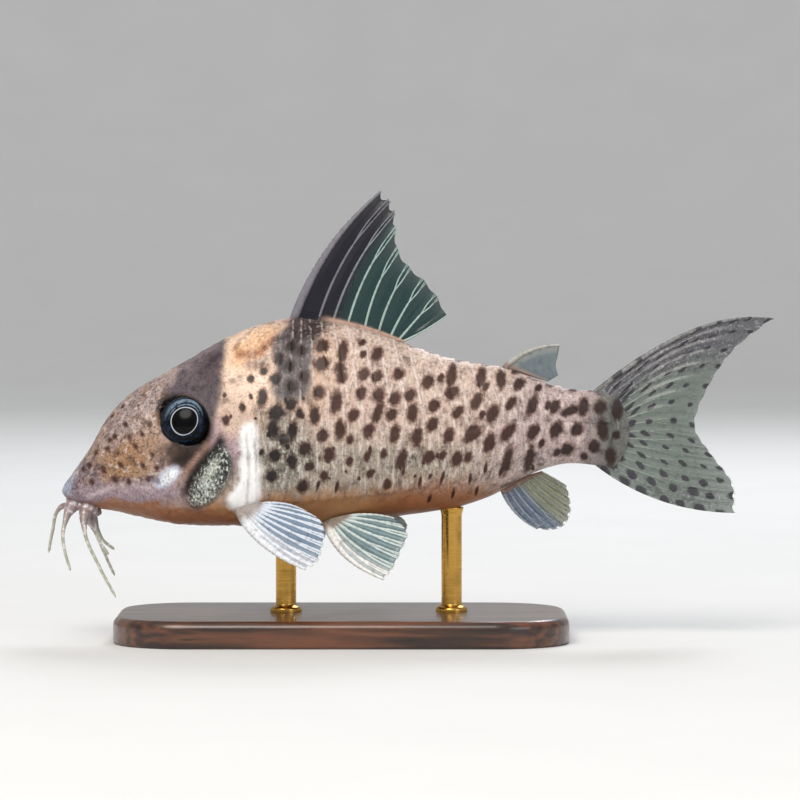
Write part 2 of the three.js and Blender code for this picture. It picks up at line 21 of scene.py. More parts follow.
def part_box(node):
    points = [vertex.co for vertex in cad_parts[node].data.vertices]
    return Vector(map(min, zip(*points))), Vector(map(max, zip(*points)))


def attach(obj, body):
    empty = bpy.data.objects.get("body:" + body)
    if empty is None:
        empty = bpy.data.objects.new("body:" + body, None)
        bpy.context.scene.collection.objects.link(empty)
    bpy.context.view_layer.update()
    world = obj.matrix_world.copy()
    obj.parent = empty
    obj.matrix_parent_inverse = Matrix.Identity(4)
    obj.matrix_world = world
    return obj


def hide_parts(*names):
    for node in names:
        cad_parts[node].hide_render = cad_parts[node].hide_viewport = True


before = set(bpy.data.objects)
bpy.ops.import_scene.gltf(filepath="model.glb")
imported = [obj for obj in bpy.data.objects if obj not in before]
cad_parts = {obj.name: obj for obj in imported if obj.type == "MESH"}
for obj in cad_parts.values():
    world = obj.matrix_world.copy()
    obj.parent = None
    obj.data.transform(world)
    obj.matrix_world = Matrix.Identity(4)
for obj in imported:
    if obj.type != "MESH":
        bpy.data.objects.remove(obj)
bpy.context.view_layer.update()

logging.basicConfig(level=logging.INFO, format="%(message)s")
log = logging.getLogger("corydoras")

# The fish's driving sizes, in millimetres
STANDARD_LENGTH = 50.0
BODY_DEPTH = 19.2
BODY_WIDTH = 13.2

# How far the snout lies ahead of the model's origin, and the belly above it, in millimetres
FISH_BACK = 26.0
BELLY_HEIGHT = 10.6

# Metres in a millimetre
MM = 0.001

# How far noise shifts the edge of a spot, as a share of the spot's depth
RAGGED = 0.9

Socket = bpy.types.NodeSocket
Rows = tuple[tuple[float, float], ...]
Place = tuple[float, float, float]
Path = tuple[Place, ...]
Branch = tuple[np.ndarray, np.ndarray, np.ndarray]


class Side(Enum):
    """A flank of the fish, as the sign of its distance from the middle plane."""

    LEFT = -1
    RIGHT = 1


def linear(shade: str) -> tuple[float, float, float]:
    """Turns a colour as six hexadecimal digits into linear light.

    Args:
        shade: the colour as seen on a screen, such as "d2b4a5".

    Returns:
        Red, green and blue from 0 to 1.
    """
    parts = (int(shade[i : i + 2], 16) / 255 for i in (0, 2, 4))
    return tuple(p / 12.92 if p <= 0.04045 else ((p + 0.055) / 1.055) ** 2.4 for p in parts)


def smooth(value: np.ndarray, low: float, high: float) -> np.ndarray:
    """Rises smoothly from 0 at low to 1 at high."""
    share = np.clip((np.asarray(value, float) - low) / (high - low), 0, 1)
    return share * share * (3 - 2 * share)


def bell(value: np.ndarray, width: float) -> np.ndarray:
    """A bump of height 1 at 0 that fades over a width."""
    return np.exp(-((np.asarray(value, float) / width) ** 2))


def blend(first: np.ndarray, second: np.ndarray | Place, share: np.ndarray) -> np.ndarray:
    """Mixes two arrays of colours or points by a share for each of their rows."""
    return first + (np.asarray(second, float) - first) * np.asarray(share)[..., None]


def wobble(points: np.ndarray, scale: float, seed: float) -> np.ndarray:
    """A smooth random field from -1 to 1.

    Args:
        points: places in millimetres, with x, y and z last.
        scale: how many swings there are in a millimetre.
        seed: moves the field, so that two of them differ.

    Returns:
        One value for each place.
    """
    flat = points.reshape(-1, 3) * scale + seed
    return np.array([noise.noise(place) for place in flat.tolist()]).reshape(points.shape[:-1])


def to_room(points: np.ndarray) -> np.ndarray:
    """Moves places from the fish's millimetres to the model's metres."""
    return (points + np.array([-FISH_BACK, 0, BELLY_HEIGHT])) * MM


def through(points: np.ndarray, share: np.ndarray) -> np.ndarray:
    """Places along a smooth centripetal curve through a few points.

    Args:
        points: the points that the curve passes, one a row.
        share: where along it, from 0 to 1, in equal parts between the points.

    Returns:
        One place for each share.
    """
    last = len(points) - 1
    before = 2 * points[0] - points[1]
    after = 2 * points[-1] - points[-2]
    line = np.vstack([before, points, after])
    along = np.clip(np.asarray(share, float), 0, 1) * last
    start = np.minimum(along.astype(int), last - 1)
    part = (along - start)[..., None]
    p0, p1, p2, p3 = (line[start + i] for i in range(4))
    d0, d1, d2 = (
        np.sqrt(np.linalg.norm(b - a, axis=-1, keepdims=True))
        for a, b in ((p0, p1), (p1, p2), (p2, p3))
    )
    t1 = ((p1 - p0) / d0 - (p2 - p0) / (d0 + d1) + (p2 - p1) / d1) * d1
    t2 = ((p2 - p1) / d1 - (p3 - p1) / (d1 + d2) + (p3 - p2) / d2) * d1
    c2 = -3 * p1 + 3 * p2 - 2 * t1 - t2
    c3 = 2 * p1 - 2 * p2 + t1 + t2
    return p1 + part * (t1 + part * (c2 + part * c3))


class Recipe:
    """A procedural finish, built node by node on one glossy surface shader."""

    def __init__(self, name: str, **sockets: float | tuple) -> None:
        """Starts a finish.

        Args:
            name: the finish's name, in plain words.
            sockets: the shader's constant inputs, with _ for each space in their names.
        """
        self.material = bpy.data.materials.new(name)
        self.material.use_nodes = True
        self.tree = self.material.node_tree
        self.surface = self.tree.nodes["Principled BSDF"]
        for socket, value in sockets.items():
            self.surface.inputs[socket.replace("_", " ")].default_value = value

    def node(self, kind: str, inputs: dict | None = None, **settings: object) -> bpy.types.Node:
        """Adds a node.

        Args:
            kind: the node's type without its ShaderNode prefix.
            inputs: values or other nodes' sockets, by input name or number.
            settings: the node's own properties.

        Returns:
            The new node.
        """
        made = self.tree.nodes.new("ShaderNode" + kind)
        for key, value in settings.items():
            setattr(made, key, value)
        for key, value in (inputs or {}).items():
            if isinstance(value, Socket):
                self.tree.links.new(value, made.inputs[key])
            else:
                made.inputs[key].default_value = value
        return made

    def place(self) -> Socket:
        """The place on the piece, in metres."""
        return self.node("TexCoord").outputs["Object"]

    def stored(self, name: str, colour: bool = False) -> Socket:
        """A value or colour that the mesh stores at each vertex."""
        found = self.node("Attribute", attribute_name=name)
        return found.outputs["Color" if colour else "Fac"]

    def grain(self, scale: float, detail: float = 3.0, stretch: Place | None = None) -> Socket:
        """Cloudy noise.

        Args:
            scale: swings in a millimetre.
            detail: how many finer layers lie on it.
            stretch: how much to pack the pattern along each axis.

        Returns:
            The noise, from 0 to 1.
        """
        where = self.place()
        if stretch:
            where = self.node("Mapping", {"Vector": where, "Scale": stretch}).outputs[0]
        made = self.node("TexNoise", {"Vector": where, "Scale": scale / MM, "Detail": detail})
        return made.outputs["Fac"]

    def cells(self, scale: float) -> Socket:
        """The distance from scattered points, at a number of points in a millimetre."""
        return self.node("TexVoronoi", {"Vector": self.place(), "Scale": scale / MM}).outputs["Distance"]

    def rise(self, value: Socket, low: float, high: float, top: float = 1.0, bottom: float = 0.0) -> Socket:
        """Rises smoothly from bottom to top while a value goes from low to high."""
        inputs = {"Value": value, "From Min": low, "From Max": high, "To Min": bottom, "To Max": top}
        return self.node("MapRange", inputs, interpolation_type="SMOOTHSTEP").outputs["Result"]

    def maths(self, operation: str, first: Socket | float, second: Socket | float) -> Socket:
        """The sum, product or other result of two numbers."""
        return self.node("Math", {0: first, 1: second}, operation=operation).outputs[0]

    def ragged(self, value: Socket, scale: float, detail: float) -> Socket:
        """Shifts the edges of a stored field with noise of a scale and a number of finer layers."""
        inputs = {0: self.grain(scale, detail), 1: RAGGED, 2: -RAGGED / 2}
        return self.maths("ADD", value, self.node("Math", inputs, operation="MULTIPLY_ADD").outputs[0])

    def mix(
        self, first: Socket | Place, second: Socket | Place, share: Socket | float, how: str = "MIX"
    ) -> Socket:
        """Lays one colour over another.

        Args:
            first: the colour below.
            second: the colour on top.
            share: how much of the top one shows.
            how: the way they blend.

        Returns:
            The mixed colour.
        """
        below, above = (c if isinstance(c, Socket) else (*c, 1) for c in (first, second))
        # The node's sockets for colours come after those for numbers and directions
        inputs = {0: share, 6: below, 7: above}
        return self.node("Mix", inputs, data_type="RGBA", blend_type=how).outputs[2]

    def drive(self, socket: str, value: Socket) -> None:
        """Lets a pattern set one of the surface's inputs."""
        self.tree.links.new(value, self.surface.inputs[socket])

    def paint(self, colour: Socket) -> None:
        """Gives the surface its colour."""
        self.drive("Base Color", colour)

    def bump(self, height: Socket, depth: float, strength: float = 1.0) -> None:
        """Roughens the surface.

        Args:
            height: the pattern, from 0 to 1.
            depth: how high it stands, in millimetres.
            strength: how much of it shows.
        """
        inputs = {"Height": height, "Strength": strength, "Distance": depth * MM}
        self.drive("Normal", self.node("Bump", inputs).outputs["Normal"])


@dataclass(frozen=True)
class SkinFinish:
    """Wet skin over bony plates: its ground colour, spots and flecks are stored in the mesh."""

    warm_spot: str = "402721"
    cool_spot: str = "1f1b1d"
    halo: str = "9c7b6c"
    edge: str = "f4e2d8"
    fleck: str = "1a191b"
    glint: str = "d5dcd3"

    def make(self) -> bpy.types.Material:
        """Builds the finish."""
        skin = Recipe(
            "spotted skin",
            Roughness=0.42,
            Specular_IOR_Level=0.18,
            Subsurface_Weight=0.05,
            Subsurface_Radius=(1.0, 0.45, 0.3),
            Subsurface_Scale=0.0005,
            Coat_Weight=0.1,
            Coat_Roughness=0.25,
        )
        ground = self._mottled(skin, skin.stored("ground", colour=True))
        ground = self._flecked(skin, ground)
        skin.paint(self._spotted(skin, ground))
        relief = skin.maths("ADD", skin.grain(7.0, 4.0), skin.rise(skin.cells(5.5), 0.0, 0.4, 0.6))
        skin.bump(relief, 0.04, 0.6)
        return skin.material

    def _mottled(self, skin: Recipe, ground: Socket) -> Socket:
        """Lays clouds, upright streaks, irregular blots and pale plate edges over the ground colour.

        Args:
            skin: the finish under way.
            ground: the colour so far.

        Returns:
            The colour with these marks on it.
        """
        cloud = skin.grain(0.9, 4.0)
        streak = skin.grain(1.3, 3.0, (2.6, 2.6, 0.55))
        amount = skin.stored("mottle")
        lines = skin.stored("streaks")
        blots = skin.stored("blots")
        ground = skin.mix(ground, linear("fff4e6"), skin.rise(cloud, 0.5, 0.8, 0.35), "SOFT_LIGHT")
        layers = (
            (cloud, 0.5, 0.28, 0.6, amount, "5f4a44", "MULTIPLY"),
            (streak, 0.5, 0.68, 0.38, lines, "fbf0e8", "MIX"),
            (streak, 0.47, 0.3, 0.42, lines, "6b5650", "MULTIPLY"),
            (skin.grain(0.9, 3.0), 0.48, 0.66, 0.55, blots, "8a6446", "MIX"),
            (skin.grain(1.7, 4.0), 0.5, 0.68, 0.65, blots, "d8c6bb", "MIX"),
            (skin.grain(2.4, 3.0), 0.53, 0.66, 0.65, blots, "503a33", "MIX"),
            (skin.grain(5.0), 0.5, 0.68, 0.45, amount, "857068", "MULTIPLY"),
        )
        for pattern, low, high, top, where, shade, how in layers:
            share = skin.maths("MULTIPLY", skin.rise(pattern, low, high, top), where)
            ground = skin.mix(ground, linear(shade), share, how)
        edge = skin.maths("MULTIPLY", skin.stored("edge"), skin.rise(skin.grain(1.6), 0.35, 0.6))
        return skin.mix(ground, linear(self.edge), edge)

    def _flecked(self, skin: Recipe, ground: Socket) -> Socket:
        """Lays black specks and silvery glints where the mesh asks for them.

        Args:
            skin: the finish under way.
            ground: the colour so far.

        Returns:
            The colour with both on it.
        """
        fine = skin.grain(4.2, 3.0, (1.2, 1.2, 0.8))
        kinds = (("flecks", self.fleck, 0.47, 0.36), ("glints", self.glint, 0.53, 0.64))
        for name, shade, low, high in kinds:
            share = skin.maths("MULTIPLY", skin.rise(fine, low, high, 0.85), skin.stored(name))
            ground = skin.mix(ground, linear(shade), share)
        return ground

    def _spotted(self, skin: Recipe, ground: Socket) -> Socket:
        """Lays the dark spots, ragged at the edge, warm brown, and blackish where the mesh says cool.

        Args:
            skin: the finish under way.
            ground: the colour so far.

        Returns:
            The colour with the spots on it.
        """
        spots = skin.ragged(skin.stored("spots"), 2.6, 4.0)
        shade = skin.mix(linear(self.warm_spot), linear(self.cool_spot), skin.stored("cool"))
        ground = skin.mix(ground, linear(self.halo), skin.rise(spots, -0.36, 0.05, 0.6), "MULTIPLY")
        return skin.mix(ground, shade, skin.rise(spots, -0.12, 0.36, 0.95))


@dataclass(frozen=True)
class FinFinish:
    """A clear web or its bony rays: colour, specks, spots and clearness are stored in the mesh."""

    name: str
    roughness: float
    see_through: bool
    spot: str = "2b2830"

    def make(self) -> bpy.types.Material:
        """Builds the finish."""
        fin = Recipe(
            self.name,
            Roughness=self.roughness,
            Specular_IOR_Level=0.3,
            Coat_Weight=0.15,
            Coat_Roughness=0.15,
        )
        ground = fin.stored("ground", colour=True)
        streaks = fin.grain(2.2, 4.0)
        ground = fin.mix(ground, linear("f4f6f2"), fin.rise(streaks, 0.55, 0.8, 0.3), "SOFT_LIGHT")
        ground = fin.mix(ground, linear("77777c"), fin.rise(streaks, 0.48, 0.25, 0.4), "MULTIPLY")
        for scale, low, high, shade in ((2.6, 0.48, 0.62, "3f3c43"), (3.6, 0.56, 0.7, "b9b6ba")):
            specks = fin.rise(fin.grain(scale, 2.0), low, high, 0.65)
            ground = fin.mix(ground, linear(shade), fin.maths("MULTIPLY", specks, fin.stored("speckle")))
        dark = fin.rise(fin.ragged(fin.stored("spots"), 2.8, 3.0), -0.05, 0.35, 0.92)
        fin.paint(fin.mix(ground, linear(self.spot), dark))
        if self.see_through:
            solid = fin.maths("MULTIPLY", dark, 0.9)
            fin.drive("Alpha", fin.maths("MAXIMUM", fin.stored("cover"), solid))
        fin.bump(fin.grain(6.0, 3.0), 0.02, 0.4)
        return fin.material


@dataclass(frozen=True)
class EyeFinish:
    """A dark wet eye: a black pupil in a thin silver ring, and a navy iris with silvery arcs.

    Each arc has a radius and a half width in millimetres, and a strength.
    """

    pupil: float = 1.25
    iris: float = 2.24
    arcs: Path = ((1.6, 0.07, 0.55), (1.93, 0.13, 0.6), (2.24, 0.05, 0.7))

    def make(self) -> bpy.types.Material:
        """Builds the finish."""
        eye = Recipe(
            "wet eye", Roughness=0.24, Specular_IOR_Level=0.08, Coat_Weight=0.1, Coat_Roughness=0.03
        )
        out = eye.stored("disc")
        high = eye.stored("high")
        streak = eye.grain(3.0, 4.0)
        iris = eye.mix(linear("04070d"), linear("142840"), eye.rise(streak, 0.46, 0.68, 0.9))
        upper = eye.maths("MULTIPLY", eye.rise(high, 0.5, 0.95), eye.rise(streak, 0.25, 0.55))
        for radius, width, strength in self.arcs:
            arc = eye.maths("MULTIPLY", self._ring(eye, out, radius, width), upper)
            iris = eye.mix(iris, linear("8ea5ba"), eye.maths("MULTIPLY", arc, strength))
        iris = eye.mix(iris, linear("1b1614"), eye.rise(out, self.iris, self.iris + 0.12))
        iris = eye.mix(iris, linear("b4babf"), self._ring(eye, out, self.pupil + 0.05, 0.06))
        eye.paint(eye.mix(iris, linear("030406"), eye.rise(out, self.pupil + 0.02, self.pupil - 0.03)))
        return eye.material

    @staticmethod
    def _ring(eye: Recipe, out: Socket, radius: float, width: float) -> Socket:
        """A soft ring of a radius and half width, in millimetres."""
        away = eye.maths("ABSOLUTE", eye.maths("SUBTRACT", out, radius), 0.0)
        return eye.rise(away, width * 1.5, width * 0.4)


@dataclass(frozen=True)
class FleshFinish:
    """Soft lips and feelers: fleshy at the root and clear and pale at the tip."""

    root: str = "91807f"
    tip: str = "a7ad98"

    def make(self) -> bpy.types.Material:
        """Builds the finish."""
        flesh = Recipe(
            "soft flesh",
            Roughness=0.34,
            Subsurface_Weight=0.3,
            Subsurface_Radius=(1.0, 0.6, 0.4),
            Subsurface_Scale=0.0005,
            Coat_Weight=0.3,
            Coat_Roughness=0.15,
        )
        along = flesh.stored("along")
        cloud = flesh.grain(2.0, 4.0)
        colour = flesh.mix(linear(self.root), linear(self.tip), flesh.rise(along, 0.3, 0.7))
        colour = flesh.mix(colour, linear("efe6ea"), flesh.rise(cloud, 0.5, 0.66, 0.6))
        dark = flesh.maths("MULTIPLY", flesh.rise(cloud, 0.46, 0.3, 0.7), flesh.rise(along, 0.75, 0.1))
        flesh.paint(flesh.mix(colour, linear("64504e"), dark))
        flesh.bump(flesh.grain(6.0, 3.0), 0.03, 0.5)
        return flesh.material


@dataclass(frozen=True)
class WoodFinish:
    """Dark stained wood with long grain along the base and a satin varnish."""

    def make(self) -> bpy.types.Material:
        """Builds the finish."""
        wood = Recipe("stained wood", Roughness=0.33, Coat_Weight=0.5, Coat_Roughness=0.14)
        warp = wood.grain(0.05, 3.0, (1.0, 5.0, 5.0))
        bent = wood.node("Mapping", {"Vector": wood.place(), "Scale": (60.0, 900.0, 900.0)}).outputs[0]
        shift = wood.node("VectorMath", {0: bent, 1: warp}, operation="ADD").outputs[0]
        rings = wood.node("TexNoise", {"Vector": shift, "Scale": 1.2, "Detail": 5.0}).outputs["Fac"]
        pores = wood.grain(1.0, 2.0, (0.12, 2.2, 2.2))
        colour = wood.mix(linear("2a160d"), linear("6b3f26"), wood.rise(rings, 0.34, 0.68))
        wood.paint(wood.mix(colour, linear("1a0d08"), wood.rise(pores, 0.6, 0.72, 0.75)))
        wood.bump(pores, 0.02, 0.35)
        return wood.material


@dataclass(frozen=True)
class BrassFinish:
    """Turned and polished brass with faint lines round the rod."""

    def make(self) -> bpy.types.Material:
        """Builds the finish."""
        brass = Recipe("polished brass", Metallic=1.0, Roughness=0.22)
        lines = brass.grain(1.0, 2.0, (0.3, 0.3, 14.0))
        tarnish = brass.grain(0.4, 3.0)
        brass.paint(brass.mix(linear("c79a4c"), linear("8a6a34"), brass.rise(tarnish, 0.5, 0.75, 0.6)))
        brass.drive("Roughness", brass.rise(lines, 0.3, 0.7, 0.34, 0.18))
        brass.bump(lines, 0.01, 0.3)
        return brass.material


def mesh_from(work: bmesh.types.BMesh, name: str) -> bpy.types.Mesh:
    """Turns a shaped bmesh into a mesh.

    Args:
        work: the shape, which is freed.
        name: the mesh's name.

    Returns:
        The mesh.
    """
    mesh = bpy.data.meshes.new(name)
    work.to_mesh(mesh)
    work.free()
    return mesh


def places_of(mesh: bpy.types.Mesh) -> np.ndarray:
    """The places of a mesh's vertices, one a row."""
    places = np.empty(len(mesh.vertices) * 3)
    mesh.vertices.foreach_get("co", places)
    return places.reshape(-1, 3)


def put(mesh: bpy.types.Mesh, places: np.ndarray) -> None:
    """Moves a mesh's vertices to places in the fish's millimetres."""
    mesh.vertices.foreach_set("co", to_room(places).ravel())


def grid_mesh(name: str, columns: int, rows: int) -> tuple[bpy.types.Mesh, np.ndarray, np.ndarray]:
    """Starts a sheet of quads.

    Args:
        name: the mesh's name.
        columns: quads along its first direction.
        rows: quads along its second direction.

    Returns:
        The mesh, and the column and row number of each vertex.
    """
    sheet = bmesh.new()
    bmesh.ops.create_grid(sheet, x_segments=columns, y_segments=rows, size=1)
    mesh = mesh_from(sheet, name)
    share = (places_of(mesh) + 1) / 2
    return mesh, np.rint(share[:, 0] * columns).astype(int), np.rint(share[:, 1] * rows).astype(int)


def store(mesh: bpy.types.Mesh, name: str, values: np.ndarray) -> None:
    """Stores a number or a colour at each vertex of a mesh.

    Args:
        mesh: the mesh that takes them.
        name: what the finish reads them by.
        values: one number for each vertex, or one row of red, green and blue.
    """
    if values.ndim == 1:
        layer = mesh.attributes.new(name, "FLOAT", "POINT")
        layer.data.foreach_set("value", values.astype(np.float32))
        return
    layer = mesh.attributes.new(name, "FLOAT_COLOR", "POINT")
    rgba = np.concatenate([values, np.ones((len(values), 1))], axis=1)
    layer.data.foreach_set("color", rgba.astype(np.float32).ravel())


def weld(mesh: bpy.types.Mesh, distance: float = 2e-6) -> None:
    """Closes the seams and poles of a mesh and turns its faces outwards.

    Args:
        mesh: the mesh, in metres.
        distance: how far apart vertices may be to become one.
    """
    work = bmesh.new()
    work.from_mesh(mesh)
    bmesh.ops.remove_doubles(work, verts=work.verts, dist=distance)
    bmesh.ops.dissolve_degenerate(work, dist=distance / 2, edges=work.edges)
    bmesh.ops.recalc_face_normals(work, faces=work.faces)
    work.to_mesh(mesh)
    work.free()


def spin_round(work: bmesh.types.BMesh, steps: int) -> None:
    """Spins a section a full turn round the upright axis through the origin."""
    section = work.verts[:] + work.edges[:]
    turn = {"cent": (0, 0, 0), "axis": (0, 0, 1), "angle": 2 * math.pi, "use_merge": True}
    bmesh.ops.spin(work, geom=section, steps=steps, **turn)


def turned(outline: Rows, steps: int) -> bmesh.types.BMesh:
    """Turns a shape round the upright axis, as on a lathe.

    Args:
        outline: its radius and height at each corner from the foot up, in metres.
        steps: the number of faces round it.

    Returns:
        The shape.
    """
    work = bmesh.new()
    corners = [work.verts.new((radius, 0, height)) for radius, height in outline]
    for lower, upper in zip(corners, corners[1:]):
        work.edges.new((lower, upper))
    spin_round(work, steps)
    return work


def add_tube(
    work: bmesh.types.BMesh, line: np.ndarray, radii: np.ndarray, sides: int, flat: float = 1.0
) -> list[tuple[bmesh.types.BMVert, int]]:
    """Adds a closed tube along a line, with both ends drawn to a point.

    Args:
        work: the bmesh that takes it.
        line: its centre, in the fish's millimetres, one point a row.
        radii: its radius at each point, in millimetres.
        sides: corners round it.
        flat: its breadth across the middle plane, as a share of the radius.

    Returns:
        Each new vertex with the number of its ring.
    """
    steps = len(line) - 1
    made = bmesh.ops.create_grid(work, x_segments=steps, y_segments=sides, size=1)["verts"]
    heading = np.gradient(line, axis=0)
    heading /= np.linalg.norm(heading, axis=1, keepdims=True)
    across = np.zeros_like(line)
    guide = np.array([0.0, 1.0, 0.0]) if abs(heading[0][1]) < 0.9 else np.array([1.0, 0.0, 0.0])
    for i, ahead in enumerate(heading):
        guide = guide - ahead * (guide @ ahead)
        guide /= np.linalg.norm(guide)
        across[i] = guide
    upright = np.cross(heading, across)
    reach = np.array(radii)
    reach[[0, -1]] = 0.0
    found = []
    for vertex in made:
        ring = round((vertex.co.x + 1) / 2 * steps)
        turn = (vertex.co.y + 1) / 2 * 2 * math.pi
        spoke = across[ring] * math.cos(turn) * flat + upright[ring] * math.sin(turn)
        vertex.co = to_room(line[ring] + spoke * reach[ring])
        found.append((vertex, ring))
    return found


def add_object(mesh: bpy.types.Mesh, material: bpy.types.Material) -> bpy.types.Object:
    """Puts a mesh in the scene, shaded smooth.

    Args:
        mesh: the mesh, in metres in the model's frame.
        material: its finish.

    Returns:
        The new object, with the mesh's name.
    """
    made = bpy.data.objects.new(mesh.name, mesh)
    bpy.context.scene.collection.objects.link(made)
    mesh.materials.append(material)
    mesh.polygons.foreach_set("use_smooth", [True] * len(mesh.polygons))
    return made


def finish_piece(
    mesh: bpy.types.Mesh, material: bpy.types.Material, nodes: tuple[str, ...] = ()
) -> bpy.types.Object:
    """Turns a finished mesh into a piece of the model.

    Args:
        mesh: the mesh, in metres in the model's frame.
        material: its finish.
        nodes: the solids that it stands for.

    Returns:
        The new piece.
    """
    piece = add_object(mesh, material)
    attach(piece, "root")
    if nodes:
        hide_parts(*nodes)
    mesh.calc_loop_triangles()
    log.info("%s: %d triangles", piece.name, len(mesh.loop_triangles))
    return piece


@dataclass(frozen=True)
class Profile:
    """A smooth curve through rows of (share of the standard length, value)."""

    rows: Rows
    scale: float = 1.0

    def __call__(self, x: np.ndarray | float) -> np.ndarray:
        """The curve's value at distances from the snout.

        Args:
            x: distances in millimetres.

        Returns:
            One value for each distance.
        """
        places = np.array([row[0] for row in self.rows]) * STANDARD_LENGTH
        values = np.array([row[1] for row in self.rows]) * self.scale
        last = len(places) - 1
        x = np.clip(np.asarray(x, float), places[0], places[-1])
        high = np.clip(np.searchsorted(places, x, side="right"), 1, last)
        low = high - 1
        before = np.where(low > 0, low - 1, high)
        after = np.where(high < last, high + 1, low)
        half = (places[high] - places[low]) / 2
        pull = half / (places[low] - places[before])
        push = half / (places[after] - places[high])
        p = (x - places[low]) / (places[high] - places[low])
        # A cubic curve between two rows, whose slope at each is that between its neighbours
        weights = (
            -pull * p**3 + 2 * pull * p**2 - pull * p,
            (1 + pull) * p**3 + (-1.5 - 2 * pull) * p**2 + (-0.5 + pull) * p + 1,
            (-1 - push) * p**3 + (1.5 + push) * p**2 + 0.5 * p,
            push * p**3 - push * p**2,
        )
        return sum(w * values[i] for w, i in zip(weights, (before, low, high, after)))


@dataclass(frozen=True)
class BodyForm:
    """The shape of the body, as the solids have it."""

    back: Profile = Profile(
        (
            (0, 0.182), (0.01, 0.215), (0.024, 0.266), (0.052, 0.372), (0.08, 0.5),
            (0.122, 0.625), (0.194, 0.74), (0.25, 0.823), (0.302, 0.9), (0.36, 0.963),
            (0.432, 1), (0.51, 0.974), (0.57, 0.938), (0.636, 0.875), (0.738, 0.792),
            (0.82, 0.757), (0.908, 0.677), (0.97, 0.645), (1.04, 0.648),
        ),
        BODY_DEPTH,
    )
    belly: Profile = Profile(
        (
            (0, 0.146), (0.024, 0.104), (0.1, 0.068), (0.206, 0.01), (0.314, 0),
            (0.488, 0.006), (0.646, 0.05), (0.74, 0.09), (0.796, 0.14), (0.878, 0.255),
            (0.94, 0.297), (1.04, 0.27),
        ),
        BODY_DEPTH,
    )
    side: Profile = Profile(
        (
            (0, 0.13), (0.008, 0.25), (0.03, 0.37), (0.08, 0.485), (0.16, 0.68),
            (0.24, 0.85), (0.32, 0.97), (0.4, 1), (0.52, 0.94), (0.64, 0.79),
            (0.76, 0.59), (0.88, 0.38), (0.96, 0.25), (1.04, 0.14),
        ),
        BODY_WIDTH / 2,
    )
    waist: Profile = Profile(((0, 0.45), (0.2, 0.38), (0.4, 0.36), (0.6, 0.4), (0.8, 0.47), (1.04, 0.5)))
    fullness: Profile = Profile(((0, 2.2), (0.3, 3), (0.6, 2.6), (0.85, 2.05), (1.04, 2)))
    back_fullness: float = 1.85
    nose: float = 0.35
    tail: tuple[float, float] = (50.0, 52.7)

    def surface(self, x: np.ndarray, angle: np.ndarray, lift: np.ndarray | float = 0.0) -> np.ndarray:
        """Places on the skin.

        Args:
            x: distances from the snout.
            angle: angles round the body, above its widest level.
            lift: how far the place stands off the plain form.

        Returns:
            The places, in the fish's millimetres.
        """
        top, bottom, half = self.back(x), self.belly(x), self.side(x)
        half = half * (1 - 0.8 * smooth(x, *self.tail))
        middle = bottom + self.waist(x) * (top - bottom)
        up = np.sin(angle) >= 0
        reach = np.where(up, top - middle, middle - bottom)
        power = np.where(up, self.back_fullness, self.fullness(x))
        cosine, sine = np.cos(angle), np.sin(angle)
        across = np.sign(cosine) * np.abs(cosine) ** (2 / power)
        rise = np.sign(sine) * np.abs(sine) ** (2 / power)
        slope_y = np.sign(across) * np.abs(across) ** (power - 1) / half
        slope_z = np.sign(rise) * np.abs(rise) ** (power - 1) / reach
        steep = np.hypot(slope_y, slope_z)
        round_nose = 1 - np.clip(x / self.nose, 0, 1)
        draw = np.sqrt(np.clip(1 - round_nose**2, 0, 1))
        y = (half * across + lift * slope_y / steep) * draw
        z = middle + (reach * rise + lift * slope_z / steep) * draw
        return np.stack([x + 0 * y, y, z], axis=-1)

    def flank_at(self, x: float, z: float) -> float:
        """Half the body's width at a height.

        Args:
            x: the distance from the snout.
            z: the height.

        Returns:
            Millimetres from the middle plane to the skin.
        """
        top, bottom = float(self.back(x)), float(self.belly(x))
        middle = bottom + float(self.waist(x)) * (top - bottom)
        reach = top - middle if z > middle else middle - bottom
        power = self.back_fullness if z > middle else float(self.fullness(x))
        share = min(1.0, abs(z - middle) / reach)
        return float(self.side(x)) * (1 - share**power) ** (1 / power)

    def back_at(self, x: float, y: float) -> float:
        """The height of the back at a distance from the middle plane.

        Args:
            x: the distance from the snout.
            y: the distance from the middle plane.

        Returns:
            The height, in the fish's millimetres.
        """
        bottom = float(self.belly(x))
        middle = bottom + float(self.waist(x)) * (float(self.back(x)) - bottom)
        share = min(1.0, abs(y) / float(self.side(x)))
        fall = (1 - share**self.back_fullness) ** (1 / self.back_fullness)
        return middle + (float(self.back(x)) - middle) * fall

    def flank_normal(self, x: float, z: float, side: Side) -> Vector:
        """The direction that a flank faces.

        Args:
            x: the distance from the snout.
            z: the height.
            side: the flank.

        Returns:
            A direction of length 1, out of the body.
        """
        step = 0.2
        along_x = (self.flank_at(x + step, z) - self.flank_at(x - step, z)) / (2 * step)
        along_z = (self.flank_at(x, z + step) - self.flank_at(x, z - step)) / (2 * step)
        return Vector((-along_x, side.value, -along_z)).normalized()


@dataclass(frozen=True)
class Patch:
    """A soft-edged area of colour on both flanks, as seen from the side."""

    shade: str
    x: float
    z: float
    length: float
    height: float
    lean: float = 0.0
    soft: float = 0.35
    strength: float = 1.0

    def cover(self, x: np.ndarray, z: np.ndarray) -> np.ndarray:
        """How much of the area's colour shows at each place.

        Args:
            x: distances from the snout.
            z: heights.

        Returns:
            One share for each place, up to the patch's strength.
        """
        turn = math.radians(self.lean)
        dx, dz = x - self.x, z - self.z
        along = dx * math.cos(turn) - dz * math.sin(turn)
        up = dx * math.sin(turn) + dz * math.cos(turn)
        away = np.hypot(along / (self.length / 2), up / (self.height / 2))
        return self.strength * (1 - smooth(away, 1 - self.soft, 1 + self.soft))


